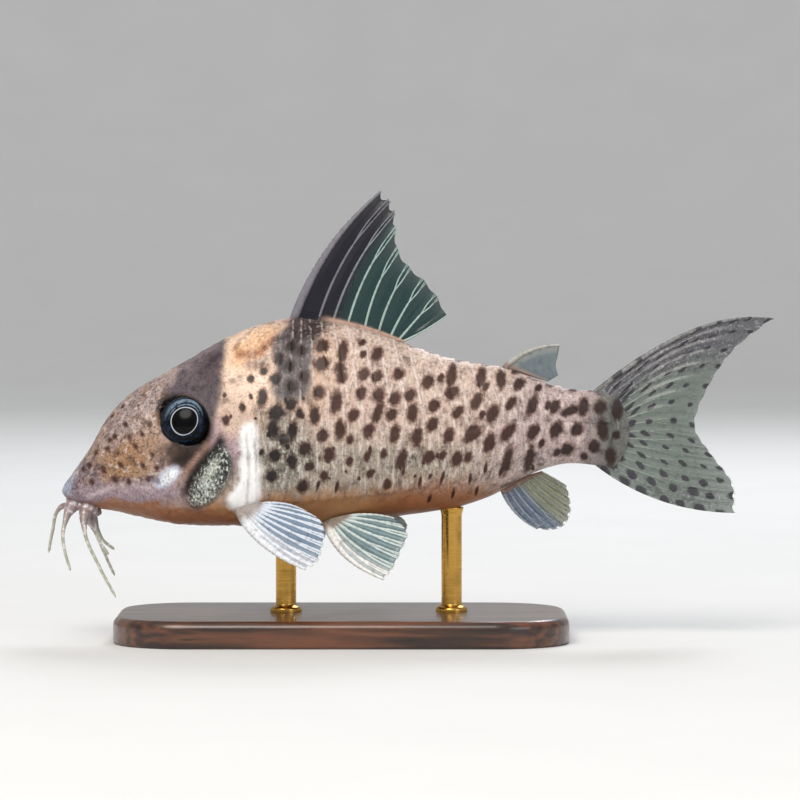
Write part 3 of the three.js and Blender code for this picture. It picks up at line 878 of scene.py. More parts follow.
@dataclass(frozen=True)
class Trace:
    """A smooth line or closed outline on a flank, through a few corners as seen from the side."""

    corners: Rows
    closed: bool = True

    def path(self) -> np.ndarray:
        """The points of the line, or of the closed outline, close together."""
        points = np.array(self.corners, float)
        count = len(points)
        if not self.closed:
            return through(points, np.linspace(0, 1, 5 * count))
        ring = np.vstack([points[-1:], points, points[:2]])
        return through(ring, np.linspace(1, count + 1, 6 * count) / (count + 2))

    def depth(self, x: np.ndarray, z: np.ndarray) -> np.ndarray:
        """How far inside an outline each place lies, or minus how far it is from the line.

        Args:
            x: distances from the snout.
            z: heights.

        Returns:
            Millimetres, with -9 for places that are far off.
        """
        line = self.path()
        found = np.full(x.shape, -9.0)
        low, high = line.min(axis=0) - 1.5, line.max(axis=0) + 1.5
        near = (x > low[0]) & (x < high[0]) & (z > low[1]) & (z < high[1])
        spot = np.stack([x[near], z[near]], axis=-1)[:, None]
        start, way = line[:-1], np.diff(line, axis=0)
        part = np.clip(((spot - start) * way).sum(axis=-1) / (way**2).sum(axis=-1), 0, 1)
        away = np.linalg.norm(spot - start - part[..., None] * way, axis=-1).min(axis=1)
        if self.closed:
            crossed = (start[:, 1] > spot[..., 1]) != (line[1:, 1] > spot[..., 1])
            slope = way[:, 0] / np.where(np.abs(way[:, 1]) < 1e-9, 1e-9, way[:, 1])
            ahead = spot[..., 0] < start[:, 0] + (spot[..., 1] - start[:, 1]) * slope
            away = np.where((crossed & ahead).sum(axis=1) % 2 == 1, -away, away)
        found[near] = -away
        return found


@dataclass(frozen=True)
class Area:
    """A patch of colour inside an outline, with a soft or a sharp edge."""

    shade: str
    trace: Trace
    soft: float = 0.2
    strength: float = 1.0

    def cover(self, x: np.ndarray, z: np.ndarray) -> np.ndarray:
        """How much of the area's colour shows at each place."""
        return self.strength * smooth(self.trace.depth(x, z), -self.soft, self.soft)


@dataclass(frozen=True)
class Streak:
    """A coloured line along a trace."""

    shade: str
    corners: Rows
    width: float
    strength: float = 1.0

    def cover(self, x: np.ndarray, z: np.ndarray) -> np.ndarray:
        """How much of the line's colour shows at each place."""
        return self.strength * bell(Trace(self.corners, False).depth(x, z), self.width)


@dataclass(frozen=True)
class Spots:
    """Dark spots of one kind: half their width and height, lean, places and how dark they are."""

    size: tuple[float, float]
    lean: float
    places: Rows
    depth: float = 1.0


@dataclass(frozen=True)
class SpotField:
    """Small spots strewn over an area: its bounds, their least spacing, and their sizes."""

    x: tuple[float, float]
    z: tuple[float, float]
    spacing: float
    size: tuple[float, float]


@dataclass
class Armour:
    """Two rows of overlapping bony plates down each flank."""

    head_end: float = 19.2
    end: float = 51.2
    slant: float = 1.4
    count: int = 22
    rise: float = 0.24
    midline: float = 10.0
    bows: tuple[float, float] = (1.1, 1.9)
    lowest: float = -33.0
    rounds: int = 5

    def numbers(self, x: np.ndarray, angle: np.ndarray) -> np.ndarray:
        """The number of the plate at each place, growing smoothly from its front to its rear edge.

        The plates' slant and bow depend on how far along the row they lie, so the number is found in
        a few rounds, each from the one before.

        Args:
            x: distances from the snout.
            angle: angles round the body.

        Returns:
            One number for each place, below 0 ahead of the plates.
        """
        sine = np.sin(angle)
        height = np.degrees(np.arcsin(np.clip(sine, -1, 1)))
        row = (height < self.midline).astype(float)
        pitch = (self.end - self.head_end) / self.count
        plate = (x - self.head_end) / pitch
        for _ in range(self.rounds):
            near_head = 1 - smooth(plate, 0, 6)
            near_tail = smooth(plate, 0, self.count)
            bow = smooth(plate, 0, 3) * (self.bows[0] + (self.bows[1] - self.bows[0]) * near_tail)
            stagger = 0.5 * row * np.clip(np.minimum(plate, self.count - plate), 0, 1)
            moved = x - self.head_end - self.slant * near_head * sine + bow * sine**2
            plate = moved / pitch + stagger
        return plate

    def relief(
        self, x: np.ndarray, angle: np.ndarray, ragged: np.ndarray
    ) -> tuple[np.ndarray, np.ndarray]:
        """The plates' height and their pale rear edges.

        Args:
            x: distances from the snout.
            angle: angles round the body.
            ragged: small random shifts of the plates' edges.

        Returns:
            The lift in millimetres, and how near each place is to a rear edge.
        """
        plate = self.numbers(x, angle) + 0.05 * ragged
        part = plate - np.floor(plate)
        height = np.degrees(np.arcsin(np.clip(np.sin(angle), -1, 1)))
        scallop = 3.0 * np.cos(2 * math.pi * (part - 0.45))
        shown = smooth(height, self.lowest - 2.5 - scallop, self.lowest + 2.5)
        shown = shown * smooth(plate, -0.15, 0.25)
        shown = shown * (1 - smooth(plate, self.count - 0.1, self.count + 0.3))
        shown = shown * (1 - 0.75 * smooth(height, 80, 90))
        lap = part**0.7 * (1 - smooth(part, 0.92, 1.0))
        groove = bell(height - self.midline, 1.5)
        lift = self.rise * (lap * (1 - groove) - 0.15 * groove) * shown
        edge = bell(part - 0.93, 0.09) * shown * (1 - groove)
        return lift, edge + 0.2 * groove * shown


@dataclass
class Skin:
    """The whole skin of head, trunk and tail stalk in one surface, with its markings."""

    form: BodyForm
    armour: Armour = field(default_factory=Armour)
    stations: int = 466
    columns: int = 212
    nose_share: float = 0.02
    head_share: float = 0.44
    head_length: float = 19.5
    seed: int = 7
    shake: float = 0.08
    lean_shake: float = 5.0
    eye: tuple[float, float] = (11.6, 9.88)
    eye_size: tuple[float, float] = (2.26, 2.18)
    socket_depth: float = 1.5
    nostril: tuple[float, float] = (4.75, 1.35)
    nostril_radius: float = 0.42
    nostril_spacing: float = 0.95
    nostril_depth: float = 0.45
    gill_cover: Trace = Trace(
        (
            (15, 7.7), (15.9, 6.9), (16.05, 5.6), (15.6, 4.3), (14.9, 3.1),
            (13.8, 2.2), (12.5, 1.9), (11.9, 2.6), (12.2, 3.9), (13, 5.3), (14, 6.7),
        )
    )
    breast_bar: Trace = Trace(
        (
            (16.9, 9.4), (18.1, 9.6), (18.45, 6.6), (18.6, 3.6), (18.2, 1.6),
            (16.2, 1.6), (15.5, 2.6), (16.5, 4.1), (16.8, 6.6),
        )
    )
    mask: Trace = Trace(
        (
            (12.2, 17.5), (15.0, 17.6), (15.1, 14.4), (14.8, 12.2), (14.3, 10.2),
            (13.4, 10.6), (11.2, 11.6), (9.1, 10.9), (9.3, 12.3), (10.6, 13.6),
        )
    )
    blotch: Trace = Trace(
        (
            (19.6, 17.2), (21.3, 18.2), (23.4, 18.0), (23.3, 14.6), (22.9, 12.1),
            (21.4, 11.6), (19.6, 12.4), (20.0, 14.6),
        )
    )
    cheek: Trace = Trace(((8.7, 4.2), (9.5, 5.2), (10.9, 5.7), (11.3, 5.2), (10.5, 4.2), (9.3, 3.6)))
    cheek_gleam: Trace = Trace(((9.9, 5.0), (10.9, 5.4), (11.1, 5.0), (10.1, 4.2), (9.4, 4.0)))

    # Laid over one another in this order, so that the later ones cover the earlier
    ground: tuple[Patch | Area | Streak, ...] = (
        # The flank, shoulder, belly and tail root
        Patch("b3a1a1", 48, 8.5, 17, 14, 0, 0.5, 0.8),
        Patch("c9a78c", 20, 14.8, 12, 11, 0, 0.4, 0.6),
        Patch("8f897c", 27, 5.4, 24, 5.2, -2, 0.5, 0.75),
        Patch("7b786d", 20.6, 7.2, 5.4, 8.6, 0, 0.5, 0.75),
        # The brown belly, darkened past its own colour as painted shade beneath the body
        Patch("a1744e", 26, 0.2, 38, 6.4, 0, 0.3),
        Patch("9d6440", 36, 1.5, 14, 5.6, 8, 0.4, 0.75),
        Patch("6b6b67", 53.0, 9, 8.0, 14, 0, 0.45, 1.0),
        # The snout, jaw and throat
        Patch("a68c7e", 6, 5.5, 19, 14, -30, 0.2),
        Patch("a39392", 7.4, 11.0, 10.5, 3.6, -47, 0.5, 0.85),
        Patch("c7b0a6", 8.7, 8.2, 3.4, 5.0, 0, 0.6, 0.85),
        Patch("a17a56", 6.2, 6.2, 7.4, 3.6, -35, 0.6, 0.8),
        Patch("7b717c", 1.8, 3.7, 5.0, 4.0, -55, 0.5, 0.85),
        # A painted highlight, bluish white, on the tip of the snout
        Patch("a7b3cc", 0.75, 4.4, 1.2, 3.2, 22, 0.6, 0.85),
        Patch("9a8894", 7.0, 3.2, 11, 2.2, -3, 0.5, 0.85),
        # The brown underside of the head, darkened partly as painted shade beneath it
        Patch("9a684b", 9, 0.5, 21, 3.4, 5, 0.22),
        # Behind the eye and on the nape
        Patch("b198a0", 15.5, 8.0, 3.4, 6.0, 10, 0.4, 0.9),
        Patch("d2b7a4", 16.2, 11.4, 3.2, 6.0, 6, 0.4, 0.95),
        Patch("f7d8bf", 18.0, 14.9, 5.8, 6.6, -20, 0.35, 0.95),
        Patch("f3bd8c", 18.0, 16.6, 4.6, 2.2, -30, 0.6, 0.75),
        Streak("935a34", ((16.6, 15.9), (18.2, 16.0), (19.8, 17.4)), 0.4, 0.85),
        Streak("6f4c3c", ((17.6, 15.0), (19.2, 14.9)), 0.42, 0.8),
        # The mask over the eye, and the shade below it
        Area("544b54", mask, 0.4, 0.92),
        Patch("4b3f46", 13.9, 12.9, 2.2, 5.6, 0, 0.5, 0.6),
        Patch("8f7d82", 12.2, 15.6, 7.4, 1.3, -42, 0.5, 0.6),
        Patch("33251f", 11.5, 6.7, 5.0, 3.0, 6, 0.45, 0.9),
        Patch("1f1613", 12.1, 6.3, 2.8, 2.2, -30, 0.5, 0.8),
        Streak("a98779", ((13.8, 7.9), (12.7, 6.3), (11.6, 5.1)), 0.34, 0.95),
        # The gill cover, with painted shade in the slit ahead of it and a painted shadow on its upper rear
        Area("7f827b", gill_cover, 0.6),
        # A painted shadow, near black, on the gill cover's upper rear
        Streak("262a30", ((15.1, 6.9), (15.6, 5.9), (15.2, 4.6)), 0.5, 0.85),
        Streak("d3d7d1", ((14.4, 6.2), (13.6, 4.6), (13.6, 3.2)), 0.42, 0.6),
        # Painted shade in the slit ahead of the gill cover, as a near-black line
        Streak("0f0b0a", ((15, 8.0), (14.2, 7.0), (13.2, 5.8), (12.3, 4.6), (11.9, 3.4)), 0.55, 1.0),
        Streak("5d4048", ((11.7, 3.4), (11.9, 2.5), (12.8, 1.6)), 0.4, 0.5),
        # The white bar behind the gill cover
        Area("f6f6f6", breast_bar, 0.38, 1.0),
        Streak("a9a5a3", ((17.3, 8.8), (17.6, 6.0), (17.4, 2.6)), 0.16, 0.55),
        Streak("b9b2af", ((18.1, 8.4), (18.2, 5.4)), 0.12, 0.5),
        # The silvery cheek and the folds of the jaw
        Area("c3cbe0", cheek, 0.3, 0.9),
        Area("f2f6fb", cheek_gleam, 0.2, 0.95),
        Patch("4b3744", 8.3, 4.6, 1.6, 0.7, 0, 0.5, 0.75),
        Patch("5a4650", 5.2, 4.4, 1.2, 0.7, 0, 0.5, 0.7),
        Streak("cdbcc0", ((2.6, 2.7), (4.9, 3.7), (8.6, 3.7)), 0.24, 0.65),
        # The blotch under the dorsal fin, and the vent
        Area("4b4a51", blotch, 0.45, 0.92),
        Patch("33252a", 23.0, 18.6, 4.6, 2.8, -12, 0.4, 0.95),
        Streak("4a2718", ((40.8, 3.7), (42.2, 4.1), (43.6, 4.5)), 0.16, 0.9),
    )
    spots: tuple[Spots, ...] = (
        # Over the dark blotch
        Spots(
            (0.64, 0.72),
            0,
            (
                (22.3, 16.3), (21.4, 16.7), (20.3, 15.4), (20, 13.7), (21.4, 13.1), (22.5, 13.9),
                (21.3, 14.9),
            ),
            0.85,
        ),
        # Wide ones
        Spots((0.95, 0.5), -8, ((20, 10.7), (38.2, 8.6), (47.2, 10.7))),
        # Round ones
        Spots(
            (0.6, 0.66),
            0,
            (
                (26, 13.9), (28, 14.1), (29.3, 13.9), (31.1, 14.1), (27.6, 12.15), (29.5, 12.15),
                (31, 12), (32.4, 12.3), (34.5, 11.2), (36.7, 10.5), (27.3, 10.3), (30.7, 10.4),
                (34.4, 9.45), (24.5, 8.5), (28.6, 8.9), (35.9, 8.5), (24.8, 6.7), (34.1, 6.5),
                (36.6, 6.5), (19.6, 4.8), (24, 12.5), (21.5, 6.3), (19.9, 6.7), (42.5, 13.1),
                (22.6, 7.4), (20.7, 8.1), (21.4, 11.4), (25.9, 14.6),
                (41.7, 11.4), (49.9, 10.8), (47.8, 8.9), (49.4, 7.4), (45.6, 11), (22.4, 4),
            ),
        ),
        # Larger round ones
        Spots(
            (0.7, 0.76),
            10,
            (
                (33.9, 13.4), (37.9, 8.7), (40, 10.4), (41.4, 8.8), (43.8, 8.9), (45.8, 8.8),
                (38.4, 11.5), (36.2, 12.5), (24.3, 16.8), (24.2, 15), (20.2, 10.8), (46.8, 7),
            ),
        ),
        # Upright ovals
        Spots(
            (0.54, 0.98),
            4,
            (
                (25.6, 11.6), (23.6, 10.4), (29.3, 10.6), (32.5, 10.5), (30.9, 8.7), (33, 8.4),
                (19.7, 8.9), (21.6, 9), (43.6, 11.1), (48.4, 11), (50.1, 9), (39.6, 7.7),
                (50.9, 6.4), (18.7, 12), (29.4, 16), (51.5, 10.6), (31.7, 6.4), (25.9, 9.2),
            ),
        ),
        # Long upright ones, of two spots that have merged
        Spots(
            (0.5, 1.35),
            5,
            ((26.1, 16.1), (36.2, 13.9), (38.7, 13.6), (40.7, 13.6), (41.4, 6.2), (43.3, 6.4)),
        ),
        # Small ones
        Spots(
            (0.38, 0.46),
            0,
            (
                (27.8, 16.9), (28, 15.6), (26.8, 6.1), (28.3, 6.8), (30, 6.9), (37.7, 6.5),
                (39, 10.4), (44.6, 7.5), (46, 6.8), (48.4, 6.4), (49.1, 12.4), (45.1, 11.1),
                (22.2, 10.5), (17, 11.1), (15.5, 9.9), (23, 5.8),
                (26.9, 8.1), (24.3, 4.8), (28.7, 5), (30.2, 3.9), (23.2, 5.7), (35.3, 6.6),
                (44.2, 12.7), (51.4, 8.3), (19, 14.4), (17.7, 13.9), (39.4, 13), (35.2, 13.6),
            ),
        ),
        # Thin dashes above the belly
        Spots(
            (0.17, 0.6),
            10,
            (
                (23.9, 4), (25.6, 3.9), (31.8, 5.3), (33.2, 4.3), (35.4, 4.7), (37.7, 4.5),
                (39.2, 5.4), (36.3, 3), (38.6, 3.1), (34, 2.6), (43.8, 5.4), (40.6, 4.9),
            ),
        ),
        # Faint ones on the snout
        Spots(
            (0.5, 0.54),
            0,
            (
                (4.7, 8.1), (8.4, 9.6), (2.2, 5.3), (6.5, 8.2), (6.1, 9.3), (7.1, 7.4), (8.6, 6.7),
                (5.8, 5.9), (4.4, 7.2), (5.1, 4.5), (6.5, 4.3), (7.8, 5.7), (3.4, 6.9), (4.1, 5.1),
                (7.6, 8.6), (9, 5.6), (2.7, 5.6), (5.1, 8.4), (3, 4.3),
            ),
            0.5,
        ),
        # Along the back, behind the dorsal fin
        Spots(
            (0.5, 0.75),
            20,
            (
                (32.6, 16.6), (34.6, 16.2), (37, 15.5), (39.4, 15.1), (42.2, 14.7), (45.6, 13.9),
                (47.6, 13),
            ),
        ),
    )
    fields: tuple[SpotField, ...] = (
        SpotField((18.6, 22.6), (7.0, 12.4), 1.5, (0.14, 0.26)),
        SpotField((15.2, 18.4), (9.6, 12.6), 1.6, (0.14, 0.24)),
        SpotField((24, 35), (4.4, 7.4), 1.3, (0.12, 0.2)),
    )

    def build(self) -> None:
        """Shapes the skin, stores its markings and dresses it."""
        self._lay_out()
        lift, edge = self._relief()
        mesh, station, column = grid_mesh("skin", self.stations, self.columns)
        put(mesh, self.form.surface(self.x, self.angle, lift)[station, column])
        layers = {
            "ground": self._ground(),
            "edge": edge,
            "spots": self._lay_spots(),
            "flecks": self._flecks(),
            "glints": self._glints(),
            "cool": self._cool(),
            "mottle": self._mottle(),
            "blots": self._blots(),
            "streaks": self._streaks(),
        }
        for name, values in layers.items():
            store(mesh, name, values[station, column])
        weld(mesh)
        nodes = ("head", "gill_cover_left", "gill_cover_right", "trunk", "tail_stalk")
        finish_piece(mesh, SkinFinish().make(), nodes)

    def _lay_out(self) -> None:
        """Spreads the stations along the body and the columns round it.

        Each place of this grid then has its distance from the snout, its angle, its place on the
        plain form, its height, its distance up round the body from the belly, and its side.
        """
        share = np.linspace(0, 1, self.stations + 1)
        nose, tail = self.form.nose, self.form.tail[1]
        along = np.interp(share, (self.nose_share, self.head_share, 1), (nose, self.head_length, tail))
        opening = share < self.nose_share
        along[opening] = nose * (1 - np.cos(share[opening] / self.nose_share * math.pi / 2))
        turn = np.linspace(-math.pi / 2, 1.5 * math.pi, self.columns + 1)
        self.x, self.angle = np.meshgrid(along, turn, indexing="ij")
        self.x = self.x - 1.5 * smooth(self.x, 46, tail) * np.sin(self.angle) ** 2
        self.plain = self.form.surface(self.x, self.angle)
        self.z = self.plain[..., 2]
        steps = np.linalg.norm(np.diff(self.plain[..., 1:], axis=1), axis=-1)
        up = np.concatenate([np.zeros((len(along), 1)), np.cumsum(steps, axis=1)], axis=1)
        right = np.arange(self.columns + 1) <= self.columns // 2
        self.girth = np.where(right, up, up[:, -1:] - up)
        self.side = np.where(right, 1, -1) + 0 * self.girth

    def _girth_at(self, x: float, z: float, side: Side) -> float:
        """The distance up round the body from the belly to a place on a flank.

        Args:
            x: the place's distance from the snout.
            z: its height.
            side: its flank.

        Returns:
            Millimetres along the skin.
        """
        station = int(np.argmin(np.abs(self.x[:, self.columns // 4] - x)))
        half = self.columns // 2
        picked = slice(0, half + 1) if side is Side.RIGHT else slice(self.columns, half - 1, -1)
        return float(np.interp(z, self.z[station, picked], self.girth[station, picked]))

    def _nostrils(self) -> list[tuple[np.ndarray, float]]:
        """How far each place is from each of the four nostrils, with the height of its rim."""
        x, y = self.nostril
        found = []
        for side in Side:
            for offset, rim in ((0.0, 0.3), (self.nostril_spacing, 0.08)):
                centre = np.array([x + offset, side.value * y, self.form.back_at(x + offset, y)])
                found.append((np.linalg.norm(self.plain - centre, axis=-1), rim))
        return found

    def _eye_distance(self) -> np.ndarray:
        """How far each place is from the middle of its eye, with 1 at the eye's edge."""
        x, z = self.eye
        long, tall = self.eye_size
        up = np.where(self.side > 0, self._girth_at(x, z, Side.RIGHT), self._girth_at(x, z, Side.LEFT))
        return np.hypot((self.x - x) / long, (self.girth - up) / tall)

    def _relief(self) -> tuple[np.ndarray, np.ndarray]:
        """The lift of the plates, bones, folds, sockets and nostrils, and the plates' edges."""
        lift, edge = self.armour.relief(self.x, self.angle, wobble(self.plain, 2.5, 3.0))
        bright = 0.3 + 0.85 * bell(self.x - 31, 8) * smooth(self.z, 6, 10)
        edge = edge * bright * (1 - smooth(self.x, 47, 49))
        lift = lift + 0.05 * wobble(self.plain, 0.5, 11.0)
        return self._pierced(self._boned(lift)), edge

    def _boned(self, lift: np.ndarray) -> np.ndarray:
        """Raises the gill cover and the bone behind it, and creases and roughens the head.

        Args:
            lift: the skin's height over the plain form, in millimetres.

        Returns:
            The new height at each place.
        """
        gill = self.gill_cover.depth(self.x, self.z)
        rear = smooth(self.x - 0.55 * self.z, 9.4, 11.4)
        lift = lift + (0.05 + 0.13 * rear) * smooth(gill, -0.05, 0.35)
        lift = lift - 0.16 * rear * bell(gill + 0.15, 0.1)
        bar = self.breast_bar.depth(self.x, self.z)
        lift = lift + 0.14 * smooth(bar, -0.1, 0.5)
        lift = lift - 0.12 * bell(self.x - 18.4, 0.16) * smooth(bar, -0.9, -0.2)
        fold = bell(self.z - (3.7 + 0.12 * (self.x - 8)), 0.35)
        lift = lift - 0.07 * fold * smooth(self.x, 3, 5) * (1 - smooth(self.x, 10.5, 12))
        rough = 0.06 * wobble(self.plain, 1.6, 5.0) + 0.03 * wobble(self.plain, 4.0, 8.0)
        return lift + rough * (1 - smooth(self.x, 17, 19))

    def _pierced(self, lift: np.ndarray) -> np.ndarray:
        """Sinks the eye sockets and the nostrils, each with a raised rim.

        Args:
            lift: the skin's height over the plain form, in millimetres.

        Returns:
            The new height at each place.
        """
        eye = self._eye_distance()
        lift = lift * smooth(eye, 1.0, 1.5) + 0.1 * bell(eye - 1.08, 0.07)
        lift = lift - self.socket_depth * (1 - smooth(eye, 0.9, 1.02))
        for away, rim in self._nostrils():
            lift = lift + rim * bell(away - self.nostril_radius, 0.13)
            lift = lift - self.nostril_depth * (1 - smooth(away, 0.12, self.nostril_radius - 0.04))
        return lift

    def _ground(self) -> np.ndarray:
        """The ground colour at each place, from areas and lines laid over one another, with painted shade
        round the eyes and in the nostrils.
        """
        shift = wobble(self.plain, 0.7, 21.0), wobble(self.plain, 0.7, 57.0)
        fine = wobble(self.plain, 2.4, 33.0), wobble(self.plain, 2.4, 71.0)
        colour = np.broadcast_to(linear("c9b2a4"), (*self.x.shape, 3))
        for patch in self.ground:
            loose = 1.0 if isinstance(patch, Patch) else 0.15
            x = self.x + loose * 0.6 * shift[0] + (0.1 + 0.2 * loose) * fine[0]
            z = self.z + loose * 0.6 * shift[1] + (0.1 + 0.2 * loose) * fine[1]
            colour = blend(colour, linear(patch.shade), patch.cover(x, z))
        eye = self._eye_distance()
        # Painted shade round each eye: a grey-brown ring, and a near-black line where the socket meets the
        # ball
        colour = blend(colour, linear("3a2f2e"), 0.8 * (1 - smooth(eye, 1.1, 1.35)))
        colour = blend(colour, linear("14100f"), 1 - smooth(eye, 1.05, 1.14))
        # Painted shade inside the sunk nostril pits
        for away, _ in self._nostrils():
            colour = blend(colour, linear("1d1513"), 1 - smooth(away, 0.16, 0.36))
        return colour

    def _add_spot(
        self,
        spots: np.ndarray,
        x: float,
        z: float,
        side: Side,
        size: tuple[float, float],
        lean: float,
        depth: float = 1.0,
    ) -> None:
        """Lays one spot on a flank.

        Args:
            spots: the field that it is added to.
            x: its distance from the snout.
            z: its height.
            side: its flank.
            size: half its width and half its height.
            lean: how far its top leans back, in degrees.
            depth: how dark it is, with 1 for a full one.
        """
        half = self.columns // 2
        near = np.abs(self.x[:, half // 2] - x) < max(size) * 2 + 1.6
        across = slice(0, half + 1) if side is Side.RIGHT else slice(half, self.columns + 1)
        dx = self.x[near, across] - x
        dg = self.girth[near, across] - self._girth_at(x, z, side)
        turn = math.radians(lean)
        along = dx * math.cos(turn) - dg * math.sin(turn)
        up = dx * math.sin(turn) + dg * math.cos(turn)
        value = depth - np.hypot(along / size[0], up / size[1])
        spots[near, across] = np.maximum(spots[near, across], np.clip(value, -1, 1))

    def _lay_spots(self) -> np.ndarray:
        """How deep each place lies in a spot: 1 in the middle of one, and below 0 outside."""
        spots = np.full(self.x.shape, -1.0)
        for side in Side:
            draw = random.Random(self.seed + side.value)
            for kind in self.spots:
                for x, z in kind.places:
                    x, z = x + draw.gauss(0, self.shake), z + draw.gauss(0, self.shake)
                    low, high = 1 - self.shake, 1 + self.shake
                    size = tuple(half * draw.uniform(low, high) for half in kind.size)
                    lean = kind.lean + draw.gauss(0, self.lean_shake)
                    self._add_spot(spots, x, z, side, size, lean, kind.depth)
            for strewn in self.fields:
                self._strew(spots, strewn, side, draw)
        eye = self._eye_distance()
        return np.where(eye < 1.12, -1.0, spots)

    def _strew(self, spots: np.ndarray, strewn: SpotField, side: Side, draw: random.Random) -> None:
        """Lays small spots over an area, none closer to another than its spacing.

        Args:
            spots: the field that they are added to.
            strewn: the area and the spots' sizes.
            side: the flank.
            draw: the source of chance.
        """
        taken: list[tuple[float, float]] = []
        tries = 40 * int((strewn.x[1] - strewn.x[0]) * (strewn.z[1] - strewn.z[0]))
        for _ in range(tries):
            x, z = draw.uniform(*strewn.x), draw.uniform(*strewn.z)
            low, high = float(self.form.belly(x)) + 1.6, float(self.form.back(x)) - 0.25
            if not low < z < high:
                continue
            if any(math.hypot(x - a, z - b) < strewn.spacing for a, b in taken):
                continue
            taken.append((x, z))
            size = draw.uniform(*strewn.size)
            size = (size, size * draw.uniform(0.9, 1.5))
            self._add_spot(spots, x, z, side, size, draw.uniform(-30, 30))

    def _flecks(self) -> np.ndarray:
        """Where black flecks lie: on the gill cover, low on the flank, on the head's top and the jaw."""
        cover = smooth(self.gill_cover.depth(self.x, self.z), -0.25, 0.5)
        low = 0.45 * smooth(self.x, 18, 20) * (1 - smooth(self.x, 38, 46)) * bell(self.z - 6.2, 2.4)
        head = 0.55 * (1 - smooth(self.x, 14, 16)) * smooth(self.z - 0.62 * self.x, 1.2, 3.4)
        cheek = 0.35 * bell(self.z - 3.2, 1.2) * (1 - smooth(self.x, 11, 13))
        return np.clip(cover + low + head + cheek, 0, 1)

    def _glints(self) -> np.ndarray:
        """Where pale silvery glints lie: on the gill cover, behind it, low down and along the jaw."""
        cover = smooth(self.gill_cover.depth(self.x, self.z), -0.2, 0.5)
        behind = 0.55 * bell(self.x - 20.5, 2.6) * bell(self.z - 7.5, 3.4)
        low = 0.2 * smooth(self.x, 18, 20) * (1 - smooth(self.x, 34, 42)) * bell(self.z - 6.0, 2.0)
        jaw = 0.2 * bell(self.z - 3.3, 1.0) * (1 - smooth(self.x, 11, 13))
        return np.clip(cover + behind + low + jaw, 0, 1)

    def _cool(self) -> np.ndarray:
        """Where the spots turn blackish: behind the head and towards the tail."""
        front = bell(self.x - 20, 3.6)
        return np.clip(front + 0.6 * smooth(self.x, 36, 48), 0, 1)

    def _mottle(self) -> np.ndarray:
        """How strongly clouds and grain show: less on the belly and on the white bar."""
        belly = 1 - smooth(self.z, 1.5, 4.5)
        bar = smooth(self.breast_bar.depth(self.x, self.z), -0.2, 0.4)
        return np.clip(1 - 0.75 * belly - 0.7 * bar, 0.2, 1)

    def _streaks(self) -> np.ndarray:
        """Where fine upright streaks show: on the plates, but hardly on the dark blotch."""
        plates = smooth(self.x, 15.5, 19) * smooth(self.z, 2.5, 5) * (1 - smooth(self.x, 47.5, 50))
        blotch = 0.85 * bell(self.x - 21.8, 2.6) * smooth(self.z, 10.5, 12.5)
        return np.clip(plates - blotch, 0, 1)

    def _blots(self) -> np.ndarray:
        """Where irregular brown blots lie: on the snout, and faintly on the nape."""
        snout = (1 - smooth(self.x, 8.6, 10.6)) * smooth(self.z, 3.2, 4.6)
        nape = 0.35 * bell(self.x - 18.4, 2.2) * smooth(self.z, 12, 14)
        return np.clip(snout + nape, 0, 1)


@dataclass
class Eyes:
    """The two eyeballs, seated in the skin's sockets."""

    form: BodyForm
    x: float = 11.44
    z: float = 9.9
    half_length: float = 2.52
    half_height: float = 2.42
    half_depth: float = 1.95
    sunk: float = 0.95
    pupil_shift: tuple[float, float] = (0.5, -0.32)

    def build(self) -> None:
        """Makes both eyes."""
        finish = EyeFinish().make()
        for side in Side:
            self._ball(side, finish)

    def _ball(self, side: Side, finish: bpy.types.Material) -> None:
        """Stretches a ball into an eye and turns it to face out of its socket.

        Args:
            side: the eye's flank.
            finish: its finish.
        """
        work = bmesh.new()
        bmesh.ops.create_uvsphere(work, u_segments=72, v_segments=44, radius=1)
        mesh = mesh_from(work, "eye_" + side.name.lower() + "_ball")
        local = places_of(mesh) * np.array([self.half_length, self.half_height, self.half_depth])
        normal = self.form.flank_normal(self.x, self.z, side)
        along = (Vector((1, 0, 0)) - normal * normal.x).normalized()
        up = normal.cross(along) * -side.value
        middle = np.array([self.x, side.value * self.form.flank_at(self.x, self.z), self.z])
        middle = middle - np.array(normal) * self.sunk
        put(mesh, middle + local @ np.array([along, up, normal]))
        rim = smooth(np.hypot(local[:, 0], local[:, 1]), 1.3, 2.3)
        seen = local[:, :2] - np.array(self.pupil_shift) * (1 - rim)[:, None]
        disc = np.where(local[:, 2] > 0, np.hypot(seen[:, 0], seen[:, 1]), 3.0)
        store(mesh, "disc", disc)
        store(mesh, "high", 0.5 + 0.5 * seen[:, 1] / np.maximum(disc, 0.01))
        weld(mesh)
        finish_piece(mesh, finish, ("eye_" + side.name.lower(),))


